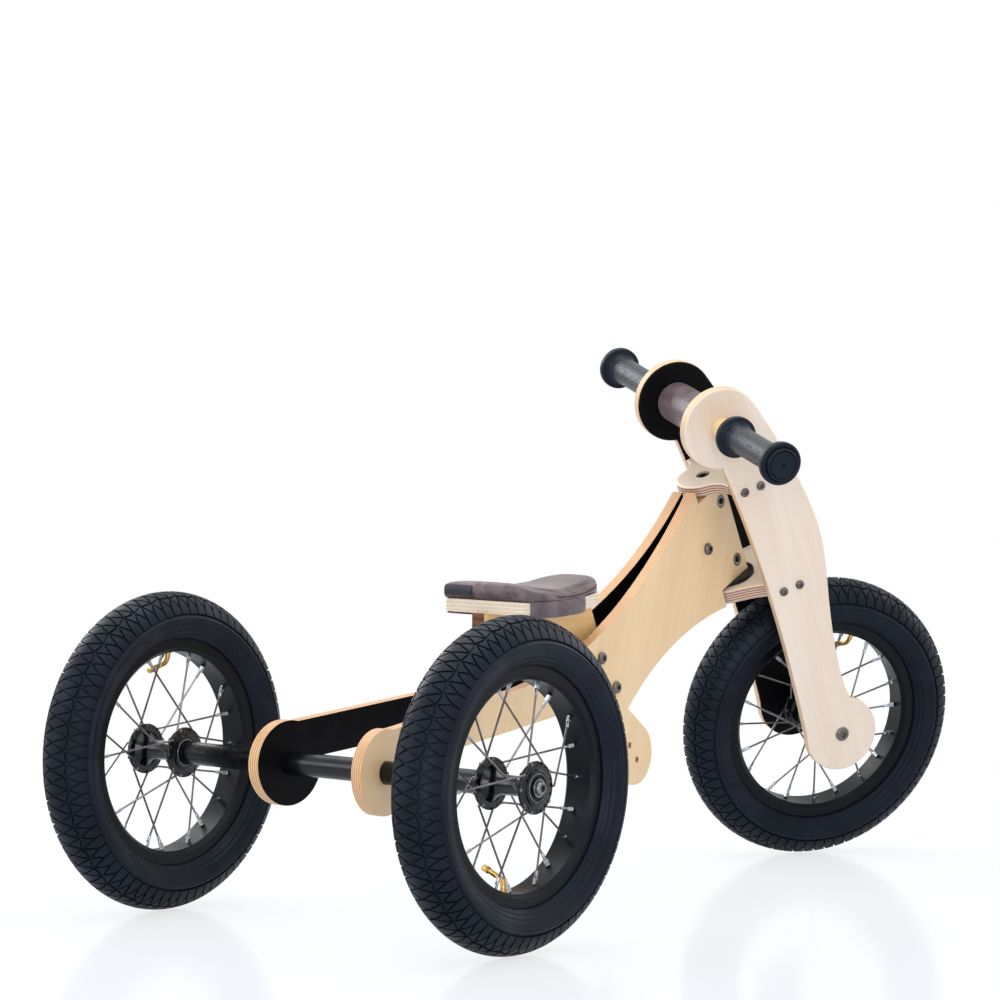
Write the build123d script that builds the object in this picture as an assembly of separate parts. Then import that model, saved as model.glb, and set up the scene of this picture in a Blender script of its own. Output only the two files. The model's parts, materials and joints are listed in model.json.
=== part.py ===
from build123d import *
import os
from math import atan2, cos, hypot, radians, sin, sqrt

# Child's balance trike: a birch plywood frame on three spoked wheels, steered by a plywood fork.
# Millimetres. X runs forward, Y to the rider's left, Z up. The pieces are drawn from the rear axle and then
# moved so that the origin lies on the floor below the middle of the overall length.

# Overall layout
WHEELBASE = 757.0  # rear axle to front axle, steered straight ahead
REAR_TRACK = 426.5  # between the middle planes of the two rear wheels
HEAD_ANGLE = 26.2  # lean of the steering axis towards the rider, in degrees
FORK_OFFSET = 48.7  # front axle ahead of the steering axis
REST_STEER = -30.8  # the front end rests turned to the right, in degrees

# Wheels, all three alike
TYRE_DIAMETER = 304.8
TYRE_WIDTH = 57.0
TREAD_WIDTH = 42.0
TREAD_DROP = 8.9  # how far the tread's edge lies below its crown
TYRE_WALL = 4.0
TUBE_WALL = 1.6
BELLY_DEPTH = 25.0  # depth of the tyre's widest point below the crown
RIM_DIAMETER = 215.4
RIM_WIDTH = 34.0
RIM_WALL = 3.0
BEAD_SEAT_DIAMETER = 203.2
RIM_INNER_DIAMETER = 191.0
RIM_CHAMFER = 4.0
SPOKES_PER_FLANGE = 10
SPOKE_DIAMETER = 2.0
NIPPLE_SIZE = 3.4
NIPPLE_LENGTH = 12.0
HUB_LENGTH = 58.0
FLANGE_DIAMETER = 48.0
FLANGE_SPACING = 50.4
FLANGE_THICKNESS = 3.0
FLANGE_HOLE_CIRCLE = 45.0
SPOKE_LIFT = 1.1  # outer spokes stand off the flange so far that they clear its edge
BARREL_DIAMETER = 23.0
HUB_END_DIAMETER = 33.0
HUB_BORE = 13.0
BEARING_DIAMETER = 26.0
BEARING_WIDTH = 8.0
VALVE_DIAMETER = 5.0
VALVE_RISE = 4.0
VALVE_BEND = 10.0  # radius of the bend
VALVE_TURN = 60.0  # angle of the bend
VALVE_REACH = 20.0

# Axles
AXLE_DIAMETER = 10.0
AXLE_TUBE_DIAMETER = 22.0
AXLE_TUBE_WALL = 2.0
AXLE_PLUG = 32.0  # length of the solid plug in each end of the tube
AXLE_HEAD_DIAMETER = 17.0
AXLE_HEAD = 5.0

# Frame sides
SIDE_THICKNESS = 12.0
REAR_GAP = 106.0  # between the sides at the rear axle
HEAD_GAP = 3.0  # between the sides at the steering head
BEND_X = 515.0  # where the spread tail would meet the parallel head
BEND_RADIUS = 1500.0
REAR_BOSS_RADIUS = 40.0
TAIL_RISE = 5.7  # slope of the tail's straight top edge, in degrees
TAIL_DROP = 2.5  # top edge of the tail below the crest of the rear boss
TAIL_LENGTH = 200.0
TAIL_BOTTOM = 157.0  # height of the tail's lower edge where it leaves the boss
TAIL_BOTTOM_RISE = 0.1
LOBE_X = 437.0
LOBE_Z = 132.0
LOBE_RADIUS = 31.0
LOBE_HOLE_DIAMETER = 6.5
LOBE_HOLE_SPACING = 21.0
NECK_X = 422.0
NECK_Z = 179.0
SWEEP_X = 500.0
SWEEP_Z = 234.0

# Steering head, measured along the steering axis from the level of the front axle
LOWER_CROWN_BOTTOM = 175.5
LOWER_CROWN_THICKNESS = 15.0
LOWER_NOSE_RADIUS = 35.0
UPPER_CROWN_BOTTOM = 298.2
UPPER_CROWN_THICKNESS = 12.0
UPPER_NOSE_RADIUS = 29.0
NOSE_TURN = 68.0  # where the round nose of a crown plate passes into its hollow flank, in degrees
HEAD_FRONT = 13.0
HEAD_STEP = 37.0
HEAD_HORN = 13.0  # how far the frame sides rise behind the upper crown plate
DISC_DIAMETER = 49.0
DISC_THICKNESS = 4.0
WASHER_DIAMETER = 36.0
WASHER_THICKNESS = 2.0
PIVOT_DIAMETER = 8.0
PIVOT_HEAD_DIAMETER = 14.0
PIVOT_HEAD = 5.0
PIVOT_SINK = 1.0  # depth of the sunk pivot heads below the face of the plate
BARREL_NUT_DIAMETER = 14.0
BARREL_NUT_DEPTH = 16.5  # from the end of the frame's head to each barrel nut
CLAMP_BACK = 41.8  # clamping bolt behind the steering axis
CLAMP_LEVEL = 246.0

# Fork
BLADE_GAP = 101.0
BLADE_THICKNESS = 12.0
BLADE_BOSS_RADIUS = 40.0
BLADE_HEAD_RADIUS = 42.5
EDGE_ROUND = 2.5  # round along the edges of the blades and crown plates
BAR_LEVEL = 375.8
BAR_OFFSET = 11.2
UPPER_CROWN_REACH = 46.0
LOWER_CROWN_REACH = 58.0
UPPER_SCREWS = (16.2, 34.8)
LOWER_SCREWS = (28.3, 47.1)
UPPER_SCREW_LEVEL = 301.0
LOWER_SCREW_LEVEL = 180.1
SCREW_DIAMETER = 5.0
SCREW_LENGTH = 45.0
SCREW_HEAD_DIAMETER = 9.5
SCREW_HEAD = 3.0
SCREW_SINK = 1.5  # heads of the seat screws below the lowest point of the seat board's top

# Handlebar
BAR_DIAMETER = 25.0
BAR_LENGTH = 400.0
BAR_END_DIAMETER = 20.0
SLEEVE_DIAMETER = 42.0
GRIP_START = 90.0  # from the middle plane of the fork
GRIP_LENGTH = 113.0
GRIP_DIAMETER = 28.0
GRIP_INNER_FLANGE = 43.0
GRIP_OUTER_FLANGE = 44.0
GRIP_FLANGE_THICKNESS = 8.0
GRIP_CAP = 12.0

# Seat
SEAT_REAR = 218.0
SEAT_LENGTH = 150.0
SEAT_WIDTH = 102.0
SEAT_NOSE_WIDTH = 66.0
SEAT_SIDE_LENGTH = 66.0  # how far the sides run straight before they draw in to the nose
SEAT_TOP = 296.5
SEAT_DIP = 1.5
SEAT_NOSE_RISE = 5.0
SEAT_BOARD_THICKNESS = 12.5
PAD_REAR = 17.5  # heights of the pad's long curve above the rear of the board
PAD_MIDDLE = 9.5
PAD_NOSE = 18.0
PAD_OVERHANG = 1.5
FLAP_START = 9.0
FLAP_LENGTH = 108.0
FLAP_THICKNESS = 1.8
FLAP_OPENING = 44.0  # between the tucked edges under the board
POST_THICKNESS = 15.0
POST_REAR = 211.0
POST_FRONT = 373.0
POST_HEEL = 24.0  # height of the post's rear end
SEAT_BOLT_UPPER = (370.0, 233.0)
SEAT_BOLT_LOWER = (398.0, 202.0)
SEAT_BOLT_MARGIN = 17.0
PACKER_START = 352.0
PACKER_LENGTH = 62.0

# Frame bolts
BOLT_DIAMETER = 6.0
BOLT_HEAD_DIAMETER = 12.5
BOLT_HEAD = 3.6
NUT_DIAMETER = 10.0
NUT_THICKNESS = 4.0

# Clearances
FIT = 0.05  # all round a shaft or bolt in its hole
SEAT_GAP = 0.15  # between pieces that lie against each other
RUN_GAP = 0.3  # between pieces that turn past each other

# Places that follow from the sizes above
AXLE_Z = TYRE_DIAMETER / 2
HUB_Y = REAR_TRACK / 2
CROWN_ARC = (TREAD_WIDTH**2 / 4 + TREAD_DROP**2) / (2 * TREAD_DROP)
LEAN = sin(radians(-REST_STEER)) * sin(radians(HEAD_ANGLE))
FRONT_DROP = (AXLE_Z - CROWN_ARC) * sqrt(1 - LEAN**2) + CROWN_ARC
STEER_X = WHEELBASE - FORK_OFFSET * cos(radians(HEAD_ANGLE))
STEER_Z = FRONT_DROP - FORK_OFFSET * cos(radians(REST_STEER)) * sin(radians(HEAD_ANGLE))
LOWER_CROWN_TOP = LOWER_CROWN_BOTTOM + LOWER_CROWN_THICKNESS
UPPER_CROWN_TOP = UPPER_CROWN_BOTTOM + UPPER_CROWN_THICKNESS
HEAD_LOW = LOWER_CROWN_TOP + SEAT_GAP + DISC_THICKNESS
HEAD_HIGH = UPPER_CROWN_BOTTOM - SEAT_GAP - WASHER_THICKNESS
HEAD_HALF = HEAD_GAP / 2 + SIDE_THICKNESS
BLADE_INNER = BLADE_GAP / 2
BLADE_OUTER = BLADE_INNER + BLADE_THICKNESS
STEER_PLANE = Plane(
    origin=(STEER_X, 0, STEER_Z),
    x_dir=(cos(radians(HEAD_ANGLE)), 0, sin(radians(HEAD_ANGLE))),
    z_dir=(-sin(radians(HEAD_ANGLE)), 0, cos(radians(HEAD_ANGLE))),
)


def head_point(ahead, level):
    """The side view's X and Z of a point given from the steering axis and along it."""
    lean = radians(HEAD_ANGLE)
    x = STEER_X + ahead * cos(lean) - level * sin(lean)
    z = STEER_Z + ahead * sin(lean) + level * cos(lean)
    return x, z


def side_half_gap(x):
    """Half the clear width between the frame sides, along their straight tails."""
    return HEAD_GAP / 2 + (REAR_GAP - HEAD_GAP) / 2 * (1 - x / BEND_X)


def upright(face):
    """A drawing of the side view, stood up from the XY plane into the XZ plane."""
    return Rot(X=90) * face


def slab(face, low, high):
    """A side-view drawing made into a board that reaches from one Y to another."""
    return extrude(Pos(0, low, 0) * upright(face), amount=high - low, dir=(0, 1, 0))


def cross_rod(diameter, x, z, low, high):
    """A round bar along Y."""
    return Pos(x, (low + high) / 2, z) * Rot(X=90) * Cylinder(diameter / 2, high - low)


def axis_rod(diameter, low, high):
    """A round bar along the steering axis, in the fork's own frame."""
    return Pos(0, 0, (low + high) / 2) * Cylinder(diameter / 2, high - low)


def ring_section(points):
    """A ring turned about Y, from its half section given as radius and distance along the axis."""
    return revolve(make_face(Polyline(*points, close=True)), Axis.Y)


def headed_bolt(x, z, under_head, end, facing):
    """A bolt along Y, its round head on the side that facing points to."""
    shank = cross_rod(BOLT_DIAMETER, x, z, min(under_head, end), max(under_head, end))
    top = under_head + facing * BOLT_HEAD
    return shank + cross_rod(BOLT_HEAD_DIAMETER, x, z, min(under_head, top), max(under_head, top))


def nut(x, z, low):
    """A hexagon nut on a bolt along Y."""
    body = extrude(RegularPolygon(NUT_DIAMETER / 2, 6, major_radius=False), NUT_THICKNESS)
    body -= Cylinder(BOLT_DIAMETER / 2 + FIT, 4 * NUT_THICKNESS)
    return Pos(x, low, z) * Rot(X=-90) * body


# Wheels, drawn about the origin with the axle along Y


def tyre_points():
    """Half section of the tyre's outside: tread edge, belly, rim edge, bead heel and bead toe."""
    radius = TYRE_DIAMETER / 2
    rim_edge = RIM_DIAMETER / 2 + RUN_GAP
    bead_radius = BEAD_SEAT_DIAMETER / 2 + SEAT_GAP
    heel = RIM_WIDTH / 2 - RIM_WALL - SEAT_GAP
    return [
        (radius - TREAD_DROP, TREAD_WIDTH / 2),
        (radius - BELLY_DEPTH, TYRE_WIDTH / 2),
        (rim_edge, RIM_WIDTH / 2 + 1.5),
        (rim_edge, heel),
        (bead_radius, heel),
        (bead_radius, heel - TYRE_WALL),
    ]


def cavity_points(shrink):
    """Half section of the space inside the tyre, drawn in by a gap for the tube that fills it."""
    radius = TYRE_DIAMETER / 2
    toe = RIM_WIDTH / 2 - RIM_WALL - SEAT_GAP - TYRE_WALL - shrink
    return [
        (BEAD_SEAT_DIAMETER / 2 + SEAT_GAP, toe),
        (radius - BELLY_DEPTH, TYRE_WIDTH / 2 - TYRE_WALL - shrink),
        (radius - TREAD_DROP - shrink, TREAD_WIDTH / 4 - shrink),
    ]


def mirrored(points):
    """The same section points on the other side of the wheel, in return order."""
    return [(radius, -along) for radius, along in reversed(points)]


def tyre():
    side = tyre_points()
    cavity = cavity_points(0)
    tread = ThreePointArc((side[0][0], -side[0][1]), (TYRE_DIAMETER / 2, 0), side[0])
    outline = tread + Polyline(*side, *cavity[1:], *mirrored(cavity[1:]), *mirrored(side))
    return revolve(make_face(outline), Axis.Y)


def inner_tube():
    """Rubber tube, hollow, lying against the inside of the tyre."""
    outside = cavity_points(SEAT_GAP)
    inside = cavity_points(SEAT_GAP + TUBE_WALL)
    inside[0] = (inside[0][0] + TUBE_WALL, inside[0][1])
    return ring_section([*outside, *mirrored(outside)]) - ring_section([*inside, *mirrored(inside)])


def valve_direction(angle):
    return Vector(cos(radians(angle)), 0, sin(radians(angle)))


def rim(valve_angle):
    edge = RIM_DIAMETER / 2
    inner = RIM_INNER_DIAMETER / 2
    half = RIM_WIDTH / 2
    side = [
        (BEAD_SEAT_DIAMETER / 2, half - RIM_WALL),
        (edge, half - RIM_WALL),
        (edge, half),
        (inner + RIM_CHAMFER, half),
        (inner, half - RIM_CHAMFER),
    ]
    body = ring_section([*side, *mirrored(side)])
    out = valve_direction(valve_angle)
    hole = Plane(origin=out * (inner - 1), z_dir=out) * Circle(VALVE_DIAMETER / 2 + FIT)
    return body - extrude(hole, edge - inner)


def valve(valve_angle):
    """Bent brass stem: from the tube through the rim towards the hub, then sideways to the left."""
    inward = -valve_direction(valve_angle)
    left = Vector(0, 1, 0)
    turn = radians(VALVE_TURN)
    start = inward * (-BEAD_SEAT_DIAMETER / 2)
    bend = inward * (VALVE_RISE - RIM_INNER_DIAMETER / 2)
    bent = bend + inward * VALVE_BEND * sin(turn) + left * VALVE_BEND * (1 - cos(turn))
    tip = bent + (inward * cos(turn) + left * sin(turn)) * VALVE_REACH
    stem = Line(start, bend)
    path = stem + TangentArc(bend, bent, tangent=stem % 1) + Line(bent, tip)
    return sweep(Plane(origin=start, z_dir=inward) * Circle(VALVE_DIAMETER / 2), path=path)


def hub_shell():
    """Barrel that flares into two flanges, with a pocket for a bearing in each end."""
    flange = FLANGE_SPACING / 2 + FLANGE_THICKNESS / 2
    end = HUB_LENGTH / 2
    side = [
        (BARREL_DIAMETER / 2, flange / 2),
        (HUB_END_DIAMETER / 2, flange - FLANGE_THICKNESS),
        (FLANGE_DIAMETER / 2, flange - FLANGE_THICKNESS),
        (FLANGE_DIAMETER / 2, flange),
        (HUB_END_DIAMETER / 2, flange),
        (HUB_END_DIAMETER / 2, end),
        (BEARING_DIAMETER / 2, end),
        (BEARING_DIAMETER / 2, end - BEARING_WIDTH),
        (HUB_BORE / 2, end - BEARING_WIDTH),
    ]
    return ring_section([*side, *mirrored(side)])


def bearings():
    """Two ball bearings, each as one ring in its pocket."""
    outer = BEARING_DIAMETER / 2 - FIT
    inner = AXLE_DIAMETER / 2 + FIT
    near = HUB_LENGTH / 2 - BEARING_WIDTH
    far = HUB_LENGTH / 2
    ring = ring_section([(inner, near), (outer, near), (outer, far), (inner, far)])
    return [ring, mirror(ring, Plane.XZ)]


def spoke_lines():
    """Start and direction of every spoke: each flange's spokes cross in pairs, one on each of its faces."""
    lines = []
    step = 360 / SPOKES_PER_FLANGE
    start_radius = FLANGE_HOLE_CIRCLE / 2
    end_radius = RIM_INNER_DIAMETER / 2 - NIPPLE_SIZE / 3
    lift = FLANGE_THICKNESS / 2 + SPOKE_DIAMETER / 2 + SEAT_GAP
    for side in (-1, 1):
        for number in range(SPOKES_PER_FLANGE):
            way = 1 if number % 2 == 0 else -1
            at_hub = step * number + (step / 2 if side > 0 else 0)
            at_rim = at_hub + way * step
            along = side * (FLANGE_SPACING / 2 + way * lift + (SPOKE_LIFT if way > 0 else 0))
            start = valve_direction(at_hub) * start_radius + Vector(0, along, 0)
            end = valve_direction(at_rim) * end_radius + Vector(0, side * RIM_WIDTH / 10, 0)
            lines.append((start, end))
    return lines


def spokes_and_nipples():
    """Wires as six-sided rods with a square nipple on the outer end of each."""
    wires = []
    nipples = []
    for start, end in spoke_lines():
        direction = (end - start).normalized()
        length = (end - start).length - NIPPLE_LENGTH
        wire = Plane(origin=start, z_dir=direction) * RegularPolygon(SPOKE_DIAMETER / 2, 6)
        wires.append(extrude(wire, length))
        nipple = Plane(origin=start + direction * length, z_dir=direction)
        nipples.append(extrude(nipple * Rectangle(NIPPLE_SIZE, NIPPLE_SIZE), NIPPLE_LENGTH))
    return wires, nipples


def wheel(name, place, valve_angle):
    """All pieces of one wheel, moved to its place."""
    wires, nipples = spokes_and_nipples()
    pieces = {
        "tyre": [tyre()],
        "inner_tube": [inner_tube()],
        "rim": [rim(valve_angle)],
        "valve": [valve(valve_angle)],
        "hub_shell": [hub_shell()],
        "bearings": bearings(),
        "spokes": wires,
        "nipples": nipples,
    }
    return {f"{name}_{key}": [place * solid for solid in solids] for key, solids in pieces.items()}


# Frame


def side_profile():
    """Side view of a frame side: round rear boss, tail, seat lobe, swept belly and stepped head."""
    rise = radians(TAIL_RISE)
    boss = REAR_BOSS_RADIUS
    crest = boss - TAIL_DROP
    shift = sqrt(boss**2 - crest**2)
    tail_start = (shift * cos(rise) - crest * sin(rise), AXLE_Z + crest * cos(rise) + shift * sin(rise))
    tail_end = (TAIL_LENGTH, tail_start[1] + (TAIL_LENGTH - tail_start[0]) * sin(rise) / cos(rise))
    horn = head_point(-HEAD_STEP, HEAD_HIGH + HEAD_HORN)
    belly = head_point(-HEAD_STEP, LOWER_CROWN_BOTTOM)
    keel_lift = TAIL_BOTTOM - AXLE_Z
    keel_start = (sqrt(boss**2 - keel_lift**2), TAIL_BOTTOM)
    neck = (NECK_X, NECK_Z)
    to_neck = atan2(NECK_Z - LOBE_Z, NECK_X - LOBE_X)
    reach = hypot(NECK_X - LOBE_X, NECK_Z - LOBE_Z)
    touch = to_neck - atan2(sqrt(reach**2 - LOBE_RADIUS**2), LOBE_RADIUS)
    lobe_front = (LOBE_X + LOBE_RADIUS * cos(touch), LOBE_Z + LOBE_RADIUS * sin(touch))
    lobe_rear = (LOBE_X - LOBE_RADIUS, LOBE_Z)
    keel_end_x = lobe_rear[0] - LOBE_RADIUS
    keel_end = (keel_end_x, TAIL_BOTTOM + (keel_end_x - keel_start[0]) * TAIL_BOTTOM_RISE)
    top = Line(tail_start, tail_end)
    back = TangentArc(tail_end, horn, tangent=top % 1)
    head = Polyline(
        horn,
        head_point(-HEAD_STEP, HEAD_HIGH),
        head_point(HEAD_FRONT, HEAD_HIGH),
        head_point(HEAD_FRONT, HEAD_LOW),
        head_point(-HEAD_STEP, HEAD_LOW),
        belly,
    )
    sweep_edge = ThreePointArc(belly, (SWEEP_X, SWEEP_Z), neck)
    lobe_side = Line(neck, lobe_front)
    lobe_end = TangentArc(lobe_front, lobe_rear, tangent=lobe_side % 1)
    keel = Line(keel_end, keel_start)
    heel = TangentArc(keel_end, lobe_rear, tangent=-(keel % 0))
    rear = ThreePointArc(keel_start, (-boss, AXLE_Z), tail_start)
    return make_face(top + back + head + sweep_edge + lobe_side + lobe_end + heel + keel + rear)


def side_strip():
    """Plan view of the left frame side: its tail is spread, its head lies straight along the bike."""
    rear_x = -2 * REAR_BOSS_RADIUS
    front_x = WHEELBASE
    inside = FilletPolyline(
        (rear_x, side_half_gap(rear_x)),
        (BEND_X, HEAD_GAP / 2),
        (front_x, HEAD_GAP / 2),
        radius=BEND_RADIUS,
    )
    outside = Pos(0, SIDE_THICKNESS) * inside
    ends = Line(inside @ 0, outside @ 0) + Line(inside @ 1, outside @ 1)
    return make_face(inside + outside + ends)


def lobe_holes():
    """Two spare bolt holes in the lobe, for the seat's lower position."""
    slope = radians(-48)
    step = Vector(cos(slope), sin(slope)) * LOBE_HOLE_SPACING / 2
    middle = Vector(LOBE_X - LOBE_RADIUS / 8, LOBE_Z + 2)
    return [middle - step, middle + step]


def frame_side():
    """The left side; the right one is its mirror image."""
    board = slab(side_profile(), 0, REAR_TRACK) & extrude(side_strip(), WHEELBASE)
    bores = [cross_rod(AXLE_TUBE_DIAMETER + 2 * FIT, 0, AXLE_Z, -REAR_TRACK, REAR_TRACK)]
    for x, z in (SEAT_BOLT_UPPER, SEAT_BOLT_LOWER, head_point(-CLAMP_BACK, CLAMP_LEVEL)):
        bores.append(cross_rod(BOLT_DIAMETER + 2 * FIT, x, z, -REAR_TRACK, REAR_TRACK))
    for spot in lobe_holes():
        bores.append(cross_rod(LOBE_HOLE_DIAMETER, spot.X, spot.Y, -REAR_TRACK, REAR_TRACK))
    for level in barrel_levels():
        x, z = head_point(0, level)
        bores.append(cross_rod(BARREL_NUT_DIAMETER + 2 * FIT, x, z, -REAR_TRACK, REAR_TRACK))
    channel = STEER_PLANE.location * axis_rod(PIVOT_DIAMETER + 4 * FIT, 0, UPPER_CROWN_TOP)
    return board - bores - channel


def barrel_levels():
    """Levels of the two barrel nuts that the pivot bolts screw into."""
    return HEAD_LOW + BARREL_NUT_DEPTH, HEAD_HIGH - BARREL_NUT_DEPTH


def barrel_nuts():
    nuts = []
    for level in barrel_levels():
        x, z = head_point(0, level)
        body = cross_rod(BARREL_NUT_DIAMETER, x, z, -HEAD_HALF, HEAD_HALF)
        thread = STEER_PLANE.location * axis_rod(PIVOT_DIAMETER + 2 * FIT, 0, BAR_LEVEL)
        nuts.append(body - thread)
    return nuts


def head_spacer():
    """Flat plate that keeps the frame sides apart behind the pivot bolts."""
    corners = [
        head_point(-PIVOT_DIAMETER, HEAD_LOW + DISC_THICKNESS),
        head_point(-PIVOT_DIAMETER, HEAD_HIGH - DISC_THICKNESS),
        head_point(-CLAMP_BACK - SEAT_BOLT_MARGIN, HEAD_HIGH - HEAD_STEP),
        head_point(-CLAMP_BACK - SEAT_BOLT_MARGIN, HEAD_LOW + HEAD_STEP),
    ]
    half = HEAD_GAP / 2 - FIT
    plate = slab(make_face(Polyline(*corners, close=True)), -half, half)
    x, z = head_point(-CLAMP_BACK, CLAMP_LEVEL)
    barrels = []
    for level in barrel_levels():
        nut_x, nut_z = head_point(0, level)
        barrels.append(cross_rod(BARREL_NUT_DIAMETER + 2 * RUN_GAP, nut_x, nut_z, -half, half))
    return plate - cross_rod(BOLT_DIAMETER + 2 * FIT, x, z, -half, half) - barrels


def side_bolt(x, z):
    """Bolt through both frame sides: its head stands on the right side, its nut on the left."""
    slope = (REAR_GAP - HEAD_GAP) / 2 / BEND_X
    face = max(side_half_gap(x), HEAD_GAP / 2) + SIDE_THICKNESS
    seat = face + slope * BOLT_HEAD_DIAMETER / 2 + SEAT_GAP
    bolt = headed_bolt(x, z, -seat, seat + NUT_THICKNESS + BOLT_DIAMETER / 4, -1)
    return bolt, nut(x, z, seat)


def upper_pivot_bolt():
    seat = UPPER_CROWN_TOP - PIVOT_HEAD - PIVOT_SINK + SEAT_GAP
    shank = axis_rod(PIVOT_DIAMETER, barrel_levels()[1] - BARREL_NUT_DIAMETER / 3, seat)
    head = axis_rod(PIVOT_HEAD_DIAMETER, seat, seat + PIVOT_HEAD)
    return STEER_PLANE.location * (shank + head)


def lower_pivot_bolt():
    seat = LOWER_CROWN_BOTTOM + PIVOT_HEAD + PIVOT_SINK - SEAT_GAP
    shank = axis_rod(PIVOT_DIAMETER, seat, barrel_levels()[0] + BARREL_NUT_DIAMETER / 3)
    head = axis_rod(PIVOT_HEAD_DIAMETER, seat - PIVOT_HEAD, seat)
    return STEER_PLANE.location * (shank + head)


def thrust_ring(diameter, low, high):
    """Flat sliding ring between the frame's head and a crown plate."""
    ring = axis_rod(diameter, low, high) - axis_rod(PIVOT_DIAMETER + 2 * FIT, low, high)
    return STEER_PLANE.location * ring


def rear_axle_tube():
    """Tube with a bored plug in each end, reaching from hub to hub."""
    end = HUB_Y - HUB_LENGTH / 2 - RUN_GAP
    tube = cross_rod(AXLE_TUBE_DIAMETER, 0, AXLE_Z, -end, end)
    hollow = AXLE_TUBE_DIAMETER - 2 * AXLE_TUBE_WALL
    tube -= cross_rod(hollow, 0, AXLE_Z, -end + AXLE_PLUG, end - AXLE_PLUG)
    return tube - cross_rod(AXLE_DIAMETER + 2 * FIT, 0, AXLE_Z, -end, end)


def rear_axle_bolts():
    near = HUB_Y - HUB_LENGTH / 2 - RUN_GAP - AXLE_PLUG * 0.8
    seat = HUB_Y + HUB_LENGTH / 2 + RUN_GAP
    shank = cross_rod(AXLE_DIAMETER, 0, AXLE_Z, near, seat)
    bolt = shank + cross_rod(AXLE_HEAD_DIAMETER, 0, AXLE_Z, seat, seat + AXLE_HEAD)
    return [bolt, mirror(bolt, Plane.XZ)]


# Seat


def seat_curve(rear, middle, nose):
    """A long curve of the saddle in the side view, given by its heights above the rear of the board."""
    return ThreePointArc(
        (SEAT_REAR - 2 * PAD_OVERHANG, SEAT_TOP + rear),
        (SEAT_REAR + SEAT_LENGTH * 0.4, SEAT_TOP + middle),
        (SEAT_REAR + SEAT_LENGTH + 2 * PAD_OVERHANG, SEAT_TOP + nose),
    )


def board_curve(lift):
    """The curve of the board's top, raised or lowered as a whole."""
    return seat_curve(lift, lift - SEAT_DIP, lift + SEAT_NOSE_RISE)


def seat_layer(below, above):
    """A layer of the seat between two of its long curves, across more than the full width."""
    ends = Line(below @ 0, above @ 0) + Line(below @ 1, above @ 1)
    return slab(make_face(below + above + ends), -SEAT_WIDTH, SEAT_WIDTH)


def seat_outline(grow):
    """Plan of the seat: square at the rear, narrower and rounded at the nose."""
    half = SEAT_WIDTH / 2 + grow
    nose = SEAT_NOSE_WIDTH / 2 + grow
    rear = SEAT_REAR - grow
    front = SEAT_REAR + SEAT_LENGTH + grow
    shoulder = SEAT_REAR + SEAT_SIDE_LENGTH
    left = [(rear, half), (shoulder, half), (front, nose)]
    right = [(x, -y) for x, y in reversed(left)]
    face = make_face(Polyline(*left, *right, close=True))
    face = fillet(face.vertices().group_by(Axis.X)[-1], SEAT_NOSE_WIDTH / 2.6)
    face = fillet(face.vertices().group_by(Axis.X)[0], SEAT_WIDTH / 12)
    return extrude(face, 2 * SEAT_TOP)


def seat_screw_places():
    return [(SEAT_REAR + SEAT_LENGTH * share, 0) for share in (0.2, 0.75)]


def seat_screw_holes(clearance):
    """Screws that hold the board on the post, as straight shanks with a sunk head."""
    holes = []
    top = SEAT_TOP - SEAT_DIP - SCREW_SINK
    for x, y in seat_screw_places():
        shank = Cylinder(SCREW_DIAMETER / 2 + clearance, SCREW_LENGTH + 2 * clearance)
        sink = Cylinder(SCREW_HEAD_DIAMETER / 2 + clearance, SCREW_HEAD + 2 * clearance)
        holes.append(Pos(x, y, top - SCREW_LENGTH / 2) * shank + Pos(x, y, top - SCREW_HEAD / 2) * sink)
    return holes


def seat_board():
    board = seat_layer(board_curve(-SEAT_BOARD_THICKNESS), board_curve(0)) & seat_outline(0)
    wells = []
    for x, y in seat_screw_places():
        well = Cylinder(SCREW_HEAD_DIAMETER / 2 + FIT, SEAT_LENGTH)
        wells.append(Pos(x, y, SEAT_TOP - SEAT_DIP - SCREW_SINK + SEAT_LENGTH / 2) * well)
    return board - seat_screw_holes(FIT) - wells


def seat_pad():
    layer = seat_layer(board_curve(SEAT_GAP), seat_curve(PAD_REAR, PAD_MIDDLE, PAD_NOSE))
    return layer & seat_outline(PAD_OVERHANG)


def seat_flaps():
    """Side flaps of the pad, folded down over the board's edges and tucked under it."""
    under = -SEAT_BOARD_THICKNESS - SEAT_GAP
    span = Pos(SEAT_REAR + FLAP_START + FLAP_LENGTH / 2, 0, SEAT_TOP)
    skin = seat_outline(SEAT_GAP + FLAP_THICKNESS) & span * Box(FLAP_LENGTH, 2 * SEAT_WIDTH, SEAT_TOP)
    bottom = board_curve(under - FLAP_THICKNESS)
    sides = (seat_layer(bottom, board_curve(0)) & skin) - seat_outline(SEAT_GAP)
    core = span * Box(FLAP_LENGTH, FLAP_OPENING, SEAT_TOP)
    tucks = (seat_layer(bottom, board_curve(under)) & skin) - core
    return (sides + tucks).solids()


def seat_post_profile():
    """Side view of the upright board under the seat, with an arm down to its two bolts."""
    heel = SEAT_TOP - SEAT_BOARD_THICKNESS - SEAT_DIP - POST_HEEL
    margin = SEAT_BOLT_MARGIN
    outline = make_face(
        Polyline(
            (POST_REAR, SEAT_TOP),
            (POST_FRONT, SEAT_TOP),
            (SEAT_BOLT_LOWER[0] + margin, SEAT_BOLT_LOWER[1]),
            (SEAT_BOLT_LOWER[0], SEAT_BOLT_LOWER[1] - margin),
            (SEAT_BOLT_LOWER[0] - margin, SEAT_BOLT_LOWER[1]),
            (SEAT_BOLT_UPPER[0] - margin, SEAT_BOLT_UPPER[1]),
            (SEAT_BOLT_UPPER[0] - 2.5 * margin, heel),
            (POST_REAR, heel),
            close=True,
        )
    )
    lower = outline.vertices().sort_by(Axis.Y)[:3]
    return fillet(lower, margin / 2.5)


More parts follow.
